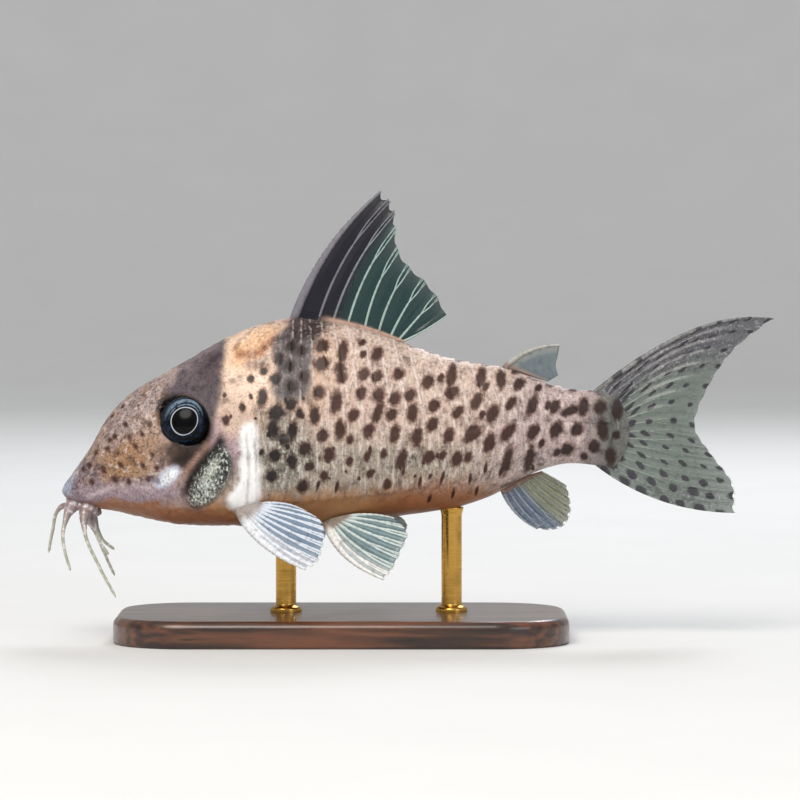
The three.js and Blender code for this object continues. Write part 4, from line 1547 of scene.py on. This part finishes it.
@dataclass
class Mouth:
    """The fleshy ring of the lips, and the six feelers that grow from it."""

    x: float = 2.0
    z: float = 1.75
    length: float = 2.3
    width: float = 2.6
    lip: float = 0.45
    tilt: float = 0.42
    root_radius: float = 0.23
    tip_radius: float = 0.13
    steps: int = 70
    front: Path = ((1.5, 0.5, 2.5), (0.95, 1.5, 1.75), (0.55, 2.35, 0.75))
    corner: Path = ((2.6, 0.7, 2.2), (2.35, 1.8, 1.4), (2.2, 2.7, 0.3))
    chin: Path = ((2.6, 0.4, 1.4), (2.9, 0.8, 0.5), (3.2, 1.0, -0.4))
    feelers: tuple[tuple[str, Side, float, Path], ...] = (
        ("maxillary", Side.LEFT, 0.76, (*front, (0.3, 3.05, -0.7), (0.45, 3.2, -2.1), (1, 3.1, -4.1))),
        (
            "maxillary",
            Side.RIGHT,
            0.5,
            (*front[:2], (-0.3, 2.6, 1.5), (-0.85, 3, 0.7), (-1.15, 3.3, -0.7), (-1.6, 3.7, -2.9)),
        ),
        ("rictal", Side.LEFT, 0.84, (*corner, (2.45, 3.15, -1.1), (3.7, 3.5, -3.7), (5.2, 3.8, -6.5))),
        ("rictal", Side.RIGHT, 0.76, (*corner, (2.85, 3.05, -0.9), (3.6, 3.1, -2.6), (4.7, 3, -5))),
        ("chin", Side.LEFT, 0.3, (*chin, (3.6, 1.05, -1.6), (4.4, 1.1, -2.7))),
        ("chin", Side.RIGHT, 0.3, (*chin, (3.75, 1, -1.5), (4.8, 1.15, -2.4))),
    )

    def build(self) -> None:
        """Makes the lips and the feelers."""
        finish = FleshFinish().make()
        self._lips(finish)
        for kind, side, thick, path in self.feelers:
            self._feeler(finish, kind, side, thick, path)

    def _lips(self, finish: bpy.types.Material) -> None:
        """Spins the section of a lip round the mouth, wrinkles it and tilts it forwards.

        Args:
            finish: the lips' finish.
        """
        work = bmesh.new()
        start = Matrix.Translation((1, 0, 0)) @ Matrix.Rotation(math.pi / 2, 4, "X")
        bmesh.ops.create_circle(work, segments=28, radius=self.lip, matrix=start)
        spin_round(work, 96)
        tilt = Matrix.Rotation(self.tilt, 3, "Y")
        along = work.verts.layers.float.new("along")
        for vertex in work.verts:
            around = math.atan2(vertex.co.y, vertex.co.x)
            fold = 1 + 0.06 * math.sin(around * 17) + 0.05 * noise.noise(vertex.co * 4)
            stretch = Vector((self.length / 2, self.width / 2, 1))
            place = tilt @ (vertex.co * stretch * fold) + Vector((self.x, 0, self.z))
            vertex[along] = 0.02
            vertex.co = to_room(np.array(place))
        mesh = mesh_from(work, "lips")
        weld(mesh)
        finish_piece(mesh, finish)

    def _feeler(
        self, finish: bpy.types.Material, kind: str, side: Side, thick: float, path: Path
    ) -> None:
        """Draws one feeler, which starts as a thick fleshy flap under the snout.

        Args:
            finish: its finish.
            kind: which of the three feelers of its flank it is.
            side: its flank.
            thick: how much thicker its flap is than the plain feeler, in millimetres.
            path: the points that it runs through, as on the right flank.
        """
        share = np.linspace(0, 1, self.steps + 1)
        line = through(np.array(path) * (1, side.value, 1), share)
        line = line + 0.05 * np.stack([wobble(line, 0.6, seed) for seed in (1.0, 9.0, 17.0)], axis=-1)
        radii = self.root_radius - (self.root_radius - self.tip_radius) * share
        radii = radii + thick * (1 - smooth(share, -0.1, 0.6)) ** 1.2
        radii = radii * (1 + 0.07 * wobble(line, 2.6, 5.0))
        radii = radii * np.sqrt(np.clip((1 - share) / 0.03, 0, 1))
        name = kind + "_barbel_" + side.name.lower()
        work = bmesh.new()
        along = work.verts.layers.float.new("along")
        for vertex, ring in add_tube(work, line, radii, 18, 0.86):
            vertex[along] = ring / self.steps
        mesh = mesh_from(work, name + "_feeler")
        weld(mesh)
        finish_piece(mesh, finish, (name,))


@dataclass(frozen=True)
class WebColours:
    """A fin's colours, from its leading edge back, how solid its web is, and how specked it is."""

    front: str
    rest: str
    base: str
    front_ray: str
    ray: str
    front_share: float
    front_cover: float
    cover: float
    base_reach: float
    speckle: float = 0.0


@dataclass
class Fin:
    """A fin: a thin web that thickens into a fleshy base, held open by branching bony rays."""

    name: str
    roots: list[Place]
    edge: list[Place]
    bows: tuple[Place, Place]
    rays: int
    colours: WebColours
    root_shares: tuple[float, ...] = ()
    spine: float = 0.3
    ray_radius: float = 0.13
    forks: tuple[float, float] = (0.5, 0.74)
    flesh: float = 0.5
    notch: float = 0.04
    pleat: float = 0.08
    banded: bool = False
    spot_rows: int = 12
    spot_pitch: float = 1.9
    splay: float = 0.21
    soft_rays: bool = True
    dark_root: bool = False
    sunk: float = 0.07
    web_half: float = 0.045
    joint_pitch: float = 0.55
    columns: int = 120
    rows: int = 60

    def __post_init__(self) -> None:
        """Works out the direction that the fin's face looks in."""
        roots, edge = np.array(self.roots, float), np.array(self.edge, float)
        across = roots[-1] - roots[0] + edge[-1] - edge[0]
        self.facing = np.cross(across, edge[0] - roots[0])
        self.facing /= np.linalg.norm(self.facing)

    def _root_share(self, u: np.ndarray) -> np.ndarray:
        """Where rays at shares of the edge meet the root line, as shares of that line."""
        if not self.root_shares:
            return u
        return np.interp(u, np.linspace(0, 1, len(self.root_shares)), self.root_shares)

    def surface(self, u: np.ndarray, v: np.ndarray) -> np.ndarray:
        """Places on the web's middle surface.

        Args:
            u: from the leading ray, 0, to the last one, 1.
            v: from the root, 0, out to the edge, 1.

        Returns:
            The places, in the fish's millimetres.
        """
        root = through(np.array(self.roots, float), self._root_share(u))
        edge = through(np.array(self.edge, float), u)
        first, last = (np.array(bow) for bow in self.bows)
        bow = blend(first + 0 * root, last, u) * (4 * v * (1 - v))[..., None]
        fold = self.pleat * np.cos(2 * math.pi * (self.rays - 1) * u) * smooth(v, 0.05, 0.5)
        ripple = 0.12 * np.sin(5.0 * u + 3.0 * v + len(self.name)) * smooth(v, 0.2, 1.0)
        return blend(root, edge, v) + bow + (fold + ripple)[..., None] * self.facing

    def _lengths(self, u: np.ndarray) -> np.ndarray:
        """The length of the ray at each share of the edge."""
        return np.linalg.norm(self.surface(u, 1 + 0 * u) - self.surface(u, 0 * u), axis=-1)

    def _marks(self, u: np.ndarray, v: np.ndarray) -> np.ndarray:
        """How deep each place lies in a spot, where the fin has bands of them on its rays.

        Args:
            u: from the leading ray, 0, to the last one, 1.
            v: from the root, 0, out to the edge, 1.

        Returns:
            One value for each place: 1 in the middle of a spot, and below 0 outside.
        """
        if not self.banded:
            return np.full(u.shape, -1.0)
        gaps = self.spot_rows
        row = np.rint(u * gaps)
        beside, behind = (self.surface(np.clip(u + way * 0.5 / gaps, 0, 1), v) for way in (1, -1))
        spacing = np.linalg.norm(beside - behind, axis=-1)
        inwards = (1 - v) * self._lengths(u)
        shaken = inwards + 0.5 * np.sin(row * 2.4) + 0.3 * np.sin(row * 5.1)
        band = np.rint((shaken - 0.7) / self.spot_pitch)
        # Three numbers of chance for each spot, the same in every run
        mixed = [row * 12.9898 + band * 78.233 + turn * 37.7 for turn in range(3)]
        draws = [np.mod(np.sin(value) * 43758.5453, 1) for value in mixed]
        aside = (u * gaps - row) * spacing + 0.5 * (draws[0] - 0.5)
        off = shaken - 0.7 - band * self.spot_pitch + 0.6 * (draws[1] - 0.5)
        size = (0.26 + 0.1 * draws[2]) * (1 + 0.55 * smooth(row, gaps - 2.5, gaps - 1))
        size = size * (1 + 0.35 * (1 - smooth(v, 0.08, 0.3)))
        value = 1 - np.hypot(aside / size, off / (size * 1.3))
        return np.where(v < 0.03, -1.0, np.clip(value, -1, 1))

    def _tint(self, u: np.ndarray, v: np.ndarray, rays: bool) -> np.ndarray:
        """The colour of the web or of the rays.

        Args:
            u: from the leading ray, 0, to the last one, 1.
            v: from the root, 0, out to the edge, 1.
            rays: whether the places are on a ray.

        Returns:
            Red, green and blue for each place.
        """
        colours = self.colours
        pair = (colours.front_ray, colours.ray) if rays else (colours.front, colours.rest)
        front, rest = (linear(shade) for shade in pair)
        share = smooth(u, colours.front_share - 0.1, colours.front_share + 0.1)
        ground = blend(np.broadcast_to(front, (*u.shape, 3)), rest, share)
        base = 1 - smooth(v, colours.base_reach * 0.35, colours.base_reach)
        base = base * (smooth(u, 0.1, 0.25) if self.dark_root else 1)
        return blend(ground, linear(colours.base), base)

    def _speckle(self, u: np.ndarray, v: np.ndarray) -> np.ndarray:
        """How strongly fine specks show: along both edges of the fin and near its root."""
        edges = 1 - smooth(u, 0.16, 0.4) + smooth(u, 0.84, 0.94)
        return self.colours.speckle * np.clip(edges + 0.8 * (1 - smooth(v, 0.05, 0.2)), 0, 1)

    def build(self, web: bpy.types.Material, bone: bpy.types.Material) -> None:
        """Makes the fin's web and its rays, which both stand for the solid of the fin's name."""
        self._web(web)
        self._rays(bone)

    def _web(self, finish: bpy.types.Material) -> None:
        """Wraps a grid round the fin's middle surface, from one face over the edge to the other.

        Args:
            finish: the web's finish.
        """
        mesh, column, row = grid_mesh(self.name + "_web", self.columns, 2 * self.rows)
        u = column / self.columns
        out = 1 - np.abs(row / self.rows - 1)
        face = np.where(row < self.rows, -1.0, 1.0)
        between = 0.5 - 0.5 * np.cos(2 * math.pi * (self.rays - 1) * u)
        tip = 1 - self.notch * between - 0.015
        v = -self.sunk + (tip + self.sunk) * out
        colours = self.colours
        flesh = self.flesh * (1 - smooth(v, 0.0, colours.base_reach)) ** 1.5
        # The web thins to nothing at its two sides, its edge and its root
        half = self.web_half + flesh
        for fade in (u * (1 - u) * 40, (1 - out) * 12, out * 12):
            half = half * np.sqrt(np.clip(fade, 0, 1))
        put(mesh, self.surface(u, v) + (face * half)[:, None] * self.facing)
        cover = np.where(u < colours.front_share, colours.front_cover, colours.cover)
        cover = cover * (1 - 0.25 * smooth(v, 0.6, 1.0))
        base = 1 - smooth(v, colours.base_reach * 0.6, colours.base_reach * 1.3)
        store(mesh, "cover", np.maximum(cover, base))
        store(mesh, "ground", self._tint(u, v, False))
        store(mesh, "speckle", self._speckle(u, v))
        store(mesh, "spots", self._marks(u, np.clip(v, 0, 1)))
        weld(mesh)
        finish_piece(mesh, finish, (self.name,))

    def _rays(self, finish: bpy.types.Material) -> None:
        """Draws each ray as a tapering tube that forks twice, with the joints of its segments.

        Args:
            finish: the rays' finish.
        """
        work = bmesh.new()
        v = np.linspace(-self.sunk, 1, 72)
        paths: list[Branch] = [(0 * v, v, self.spine * (1 - 0.72 * np.clip(v, 0, 1) ** 1.3))]
        for ray in range(1, self.rays if self.soft_rays else 1):
            paths += self._branches(ray / (self.rays - 1), ray < self.rays - 1)
        spots = work.verts.layers.float.new("spots")
        tint = work.verts.layers.float_color.new("ground")
        speckle = work.verts.layers.float.new("speckle")
        for u, v, radius in paths:
            segment = np.mod(v * self._lengths(u[:1])[0] / self.joint_pitch, 1)
            joints = 1 - 0.22 * bell(segment - 0.5, 0.16) * (v > 0.25)
            marks = self._marks(u, np.clip(v, 0, 1))
            colours = self._tint(u, v, True)
            specks = self._speckle(u, v)
            for vertex, ring in add_tube(work, self.surface(u, v), radius * joints, 8):
                vertex[spots] = float(marks[ring])
                vertex[tint] = (*colours[ring], 1)
                vertex[speckle] = float(specks[ring])
        mesh = mesh_from(work, self.name + "_rays")
        weld(mesh, 1e-6)
        finish_piece(mesh, finish, (self.name,))

    def _branches(self, u: float, forked: bool) -> list[Branch]:
        """The paths of a soft ray and its branches.

        Args:
            u: the ray's share of the edge.
            forked: whether the ray forks or stays single.

        Returns:
            For each branch its shares of the edge, its shares outwards and its radii.
        """
        thick = self.ray_radius
        if not forked:
            v = np.linspace(-self.sunk, 1, 60)
            return [(u + 0 * v, v, thick * (1 - 0.6 * np.clip(v, 0, 1)))]
        first, second = self.forks
        spread = self.splay / (self.rays - 1)
        trunk = np.linspace(-self.sunk, first + 0.03, 34)
        found = [(u + 0 * trunk, trunk, thick * (1 - 0.25 * np.clip(trunk, 0, 1)))]
        for way in (-1, 1):
            v = np.linspace(first, second + 0.02, 16)
            found.append((u + way * spread * smooth(v, first, second), v, thick * 0.62 + 0 * v))
            for fork in (-1, 1):
                tip = np.linspace(second, 1, 18)
                off = way * spread + fork * spread * 0.42 * smooth(tip, second, 1)
                found.append((u + off, tip, thick * (0.52 - 0.2 * smooth(tip, second, 1))))
        return found


@dataclass
class Fins:
    """All eight fins: four in the middle plane, and a breast and a belly fin on each flank."""

    form: BodyForm
    gap: float = 0.3
    stalk: float = 49.3
    stalk_end: float = 51.2
    stalk_bow: float = 1.9
    back_web: WebColours = WebColours(
        "1c1b25", "1f3b3b", "bd9f90", "7b7880", "a3b8b2", 0.3, 0.97, 0.88, 0.02
    )
    adipose_web: WebColours = WebColours(
        "8e9290", "6d797f", "8d7c74", "a9a79f", "8f979a", 0.2, 0.85, 0.75, 0.1
    )
    vent_web: WebColours = WebColours(
        "55637a", "6f735b", "8a6d5c", "97a2ae", "94967a", 0.4, 0.8, 0.72, 0.05, 0.5
    )
    tail_web: WebColours = WebColours(
        "616166", "727b74", "6d6a69", "7f7f7d", "8a9288", 0.22, 0.88, 0.8, 0.1, 0.7
    )
    breast_web: WebColours = WebColours(
        "c9ced8", "8093a8", "a29892", "e9ebf0", "d5dce6", 0.22, 0.95, 0.88, 0.2, 0.3
    )
    belly_web: WebColours = WebColours(
        "c3caca", "768e92", "a59585", "eeeeea", "c9d4d1", 0.22, 0.92, 0.86, 0.16, 0.25
    )

    def build(self) -> None:
        """Makes every fin."""
        web = FinFinish("fin web", 0.22, True).make()
        bone = FinFinish("fin rays", 0.34, False).make()
        for fin in (*self._middle(), *self._paired(Side.LEFT), *self._paired(Side.RIGHT)):
            fin.build(web, bone)

    def _on_back(self, x: float) -> Place:
        """A point just above the back."""
        return (x, 0, float(self.form.back(x)) + self.gap)

    def _on_vent(self, x: float) -> Place:
        """A point just below the belly line."""
        return (x, 0, float(self.form.belly(x)) - self.gap)

    def _stalk_end(self, height: float) -> Place:
        """The end of the tail stalk, from its top at 1 to its bottom at -1."""
        top, bottom = float(self.form.back(self.stalk)), float(self.form.belly(self.stalk))
        x = self.stalk_end - self.stalk_bow * height**2 + self.gap
        return (x, 0, (top + bottom) / 2 + height * (top - bottom) / 2)

    def _on_flank(self, point: tuple[float, float], side: Side) -> Place:
        """A point just off the flank."""
        x, z = point
        return (x, side.value * (self.form.flank_at(x, z) + self.gap + 0.2), z)

    def _middle(self) -> list[Fin]:
        """The four fins in the middle plane."""
        dorsal = Fin(
            "dorsal_fin",
            [self._on_back(x) for x in (21.7, 24, 26.4, 29, 31.8)],
            [
                (29.7, 0, 31), (30.5, 0, 30.2), (31, 0, 29.1), (31.1, 0, 27.6), (31.3, 0, 25.7),
                (32.3, 0, 24.1), (33.7, 0, 22.8), (34.9, 0, 21.3), (35.8, 0, 19.5),
            ],
            ((-0.75, 0, 0.55), (0, 0, -0.15)),
            9,
            self.back_web,
            root_shares=(0, 0.24, 0.38, 0.52, 0.67, 0.79, 0.89, 0.96, 1),
            spine=0.42,
            ray_radius=0.13,
            forks=(0.55, 0.8),
            splay=0.11,
            flesh=0.1,
            notch=0.03,
            dark_root=True,
        )
        adipose = Fin(
            "adipose_fin",
            [self._on_back(x) for x in (41.3, 42.6, 43.9, 45.2)],
            [(46.3, 0, 16.7), (46.1, 0, 15.7), (45.9, 0, 14.8), (46.1, 0, 13.9)],
            ((-0.35, 0, 0.45), (0, 0, 0)),
            3,
            self.adipose_web,
            spine=0.3,
            soft_rays=False,
            pleat=0.0,
            notch=0.0,
            flesh=0.15,
            columns=60,
            rows=30,
        )
        anal = Fin(
            "anal_fin",
            [self._on_vent(x) for x in (41, 42.2, 43.4, 44.6)],
            [
                (44.2, 0, -0.4), (45.6, 0, -0.5), (46.7, 0, -0.1),
                (47.3, 0, 1.1), (47.2, 0, 2.5), (46.9, 0, 3.6),
            ],
            ((-0.3, 0, -0.3), (0.1, 0, 0)),
            9,
            self.vent_web,
            spine=0.2,
            ray_radius=0.1,
            flesh=0.15,
            columns=90,
            rows=40,
        )
        caudal = Fin(
            "caudal_fin",
            [self._stalk_end(height) for height in (1, 0.5, 0, -0.5, -1)],
            [
                (66.2, 0.5, 19.1), (62.6, 0.42, 16.3), (60.2, 0.35, 12.9), (58.9, 0.3, 9.1),
                (60.5, 0.32, 6.5), (62.5, 0.38, 3.8), (62.7, 0.4, 1.1),
            ],
            ((0.7, 0, 2.3), (-0.4, 0, -1.1)),
            17,
            self.tail_web,
            spine=0.26,
            ray_radius=0.085,
            forks=(0.34, 0.62),
            notch=0.01,
            banded=True,
            columns=192,
            rows=110,
        )
        return [dorsal, adipose, anal, caudal]

    def _paired(self, side: Side) -> list[Fin]:
        """The breast fin and the belly fin of one flank.

        Args:
            side: the flank.

        Returns:
            Both fins, not yet built.
        """

        def flip(*places: Place) -> list[Place]:
            """Places of the right flank, on this flank."""
            return [(x, y * side.value, z) for x, y, z in places]

        name = side.name.lower()
        pectoral = Fin(
            "pectoral_fin_" + name,
            [self._on_flank(p, side) for p in ((16.8, 1.5), (17.6, 1.9), (18.4, 2.2))],
            flip(
                (22.9, 13.0, -3.1), (23.9, 12.7, -2.5), (24.4, 11.8, -1.4),
                (24.6, 10.6, -0.2), (24.2, 9.4, 0.9), (22.9, 8.3, 1.7),
            ),
            tuple(flip((-0.7, 0.3, -0.35), (0, 0.1, 0.45))),
            10,
            self.breast_web,
            spine=0.5,
            ray_radius=0.21,
            forks=(0.6, 0.85),
            splay=0.16,
            flesh=0.5,
            notch=0.0,
        )
        pelvic = Fin(
            "pelvic_fin_" + name,
            [self._on_flank(p, side) for p in ((24.7, 0.4), (25.5, 0.7), (26.4, 1))],
            flip(
                (30, 7.9, -4.5), (30.7, 7.6, -3.6), (31.5, 7, -1.9),
                (32.1, 6.2, -0.4), (30.9, 5.4, 0.9),
            ),
            tuple(flip((-0.9, 0.1, -0.4), (0.1, 0, 0.3))),
            8,
            self.belly_web,
            spine=0.44,
            ray_radius=0.19,
            forks=(0.55, 0.8),
            splay=0.16,
            flesh=0.42,
            notch=0.0,
        )
        return [pectoral, pelvic]


@dataclass
class Stand:
    """A bevelled wooden base and two brass rods, sized from the solids that they stand for."""

    form: BodyForm
    bevel: float = 0.5
    corner: float = 7.0
    eased: float = 0.06
    stations: tuple[tuple[str, float], ...] = (("front", 20.8), ("back", 36.2))

    def build(self) -> None:
        """Makes the base and both rods."""
        self._base(WoodFinish().make())
        brass = BrassFinish().make()
        for name, station in self.stations:
            self._rod("stand_rod_" + name, station, brass)

    def _base(self, finish: bpy.types.Material) -> None:
        """Cuts the board from a block, rounds its corners and eases its edges.

        Args:
            finish: the board's finish.
        """
        low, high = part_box("stand_base")
        size = high - low
        work = bmesh.new()
        middle = Matrix.Translation((low + high) / 2)
        bmesh.ops.create_cube(work, size=1, matrix=middle @ Matrix.Diagonal((*size, 1)))
        upright = [e for e in work.edges if abs(e.verts[0].co.z - e.verts[1].co.z) > size.z / 2]
        options = {"affect": "EDGES", "profile": 0.5, "material": -1, "offset_type": "OFFSET"}
        bmesh.ops.bevel(work, geom=upright, offset=self.corner * MM, segments=20, **options)
        for level, offset, segments in ((high.z, self.bevel * 1.6, 6), (low.z, self.bevel * 0.6, 3)):
            rim = [e for e in work.edges if all(abs(v.co.z - level) < 1e-6 for v in e.verts)]
            bmesh.ops.bevel(work, geom=rim, offset=offset * MM, segments=segments, **options)
        mesh = mesh_from(work, "base_board")
        weld(mesh)
        piece = finish_piece(mesh, finish, ("stand_base",))
        self._flatten(piece)

    @staticmethod
    def _flatten(piece: bpy.types.Object) -> None:
        """Keeps the large flat faces of a bevelled piece flat in the shading."""
        normals = piece.modifiers.new("flat faces", "WEIGHTED_NORMAL")
        normals.keep_sharp = True

    def _rod(self, node: str, station: float, finish: bpy.types.Material) -> None:
        """Turns a rod with a collar at its foot and a small cup under the belly.

        Args:
            node: the solid that the rod stands for.
            station: where it holds the belly, as a distance from the snout.
            finish: its finish.
        """
        low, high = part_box(node)
        centre = (low + high) / 2
        radius = (high.x - low.x) / 2 / MM
        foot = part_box("stand_base")[1].z / MM
        belly = BELLY_HEIGHT + float(self.form.belly(station)) + 0.12
        outline = (
            (0, foot - 0.2), (radius * 1.55, foot - 0.2), (radius * 1.55, foot + 0.32),
            (radius * 1.4, foot + 0.5), (radius * 1.08, foot + 0.62), (radius, foot + 0.8),
            (radius, belly - 0.9), (radius * 1.05, belly - 0.5), (radius * 1.16, belly - 0.2),
            (radius * 1.16, belly), (0, belly + 0.05),
        )
        work = turned([(r * MM, z * MM) for r, z in outline], 48)
        bmesh.ops.translate(work, verts=work.verts, vec=(centre.x, centre.y, 0))
        mesh = mesh_from(work, node + "_turned")
        weld(mesh)
        piece = finish_piece(mesh, finish, (node,))
        edges = piece.modifiers.new("eased edges", "BEVEL")
        edges.width = self.eased * MM
        edges.segments = 2
        edges.limit_method = "ANGLE"
        self._flatten(piece)


@dataclass(frozen=True)
class Lamp:
    """A round soft light: its place and size in metres, its power in watts, and its colour."""

    name: str
    place: Place
    size: float
    power: float
    shade: str


@dataclass
class Studio:
    """A pale cove, soft lights and the camera at the side of the fish."""

    target: Place = (5.4, 0.0, 22.2)
    view_width: float = 74.3
    lens: float = 200.0
    elevation: float = 2.0
    sensor: float = 36.0
    floor_radius: float = 0.6
    bend: float = 0.4
    height: float = 0.9
    air: float = 0.62
    aim: Place = (0.005, 0, 0.02)
    lamps: tuple[Lamp, ...] = (
        Lamp("key", (-0.14, -0.36, 0.42), 0.36, 2.3, "fff8f0"),
        Lamp("fill", (0.36, -0.4, 0.2), 0.3, 0.5, "eef4ff"),
        Lamp("rim", (0.1, 0.34, 0.34), 0.2, 0.9, "f4f8ff"),
    )

    def build(self) -> None:
        """Makes the cove, the lights and the camera."""
        self._cove()
        self._world()
        self._lights()
        self._camera()

    def _cove(self) -> None:
        """Spins a floor that curves up into a wall, far round the model."""
        outline = [(0.0, 0.0), (self.floor_radius, 0.0)]
        for turn in np.linspace(0, math.pi / 2, 13)[1:]:
            outline.append(
                (self.floor_radius + self.bend * math.sin(turn), self.bend * (1 - math.cos(turn)))
            )
        outline.append((self.floor_radius + self.bend, self.height))
        mesh = mesh_from(turned(outline, 64), "floor")
        weld(mesh)
        paper = Recipe("pale paper", Roughness=0.9)
        paper.paint(paper.mix(linear("e4e4e3"), linear("dededd"), paper.grain(0.05, 2.0)))
        add_object(mesh, paper.material)

    def _world(self) -> None:
        """Fills the shadows with even pale light."""
        world = bpy.data.worlds.new("studio air")
        world.use_nodes = True
        air = world.node_tree.nodes["Background"]
        air.inputs["Color"].default_value = (*linear("eef1f4"), 1)
        air.inputs["Strength"].default_value = self.air
        bpy.context.scene.world = world
        bpy.context.scene.view_settings.view_transform = "Standard"

    def _lights(self) -> None:
        """Hangs the lamps round the fish and turns them towards it."""
        for plan in self.lamps:
            lamp = bpy.data.lights.new(plan.name, "AREA")
            lamp.shape = "DISK"
            lamp.size = plan.size
            lamp.energy = plan.power
            lamp.color = linear(plan.shade)
            holder = bpy.data.objects.new(plan.name, lamp)
            holder.location = plan.place
            way = Vector(self.aim) - Vector(plan.place)
            holder.rotation_euler = way.to_track_quat("-Z", "Y").to_euler()
            bpy.context.scene.collection.objects.link(holder)

    def _camera(self) -> None:
        """Sets the camera level with the fish, far off with a long lens."""
        distance = self.view_width * MM * self.lens / self.sensor
        rise = math.radians(self.elevation)
        back = Vector((0, -math.cos(rise), math.sin(rise)))
        camera = bpy.data.cameras.new("camera")
        camera.lens = self.lens
        camera.sensor_width = self.sensor
        camera.clip_start = 0.01
        camera.clip_end = 20
        holder = bpy.data.objects.new("camera", camera)
        holder.location = Vector(self.target) * MM + back * distance
        holder.rotation_euler = (-back).to_track_quat("-Z", "Y").to_euler()
        bpy.context.scene.collection.objects.link(holder)
        bpy.context.scene.camera = holder


def main() -> None:
    """Builds the fish, its stand and the studio in order."""
    form = BodyForm()
    steps: tuple[Callable[[], None], ...] = (
        Studio().build,
        Skin(form).build,
        Eyes(form).build,
        Mouth().build,
        Fins(form).build,
        Stand(form).build,
    )
    for step in steps:
        step()


if __name__ == "__main__":
    main()
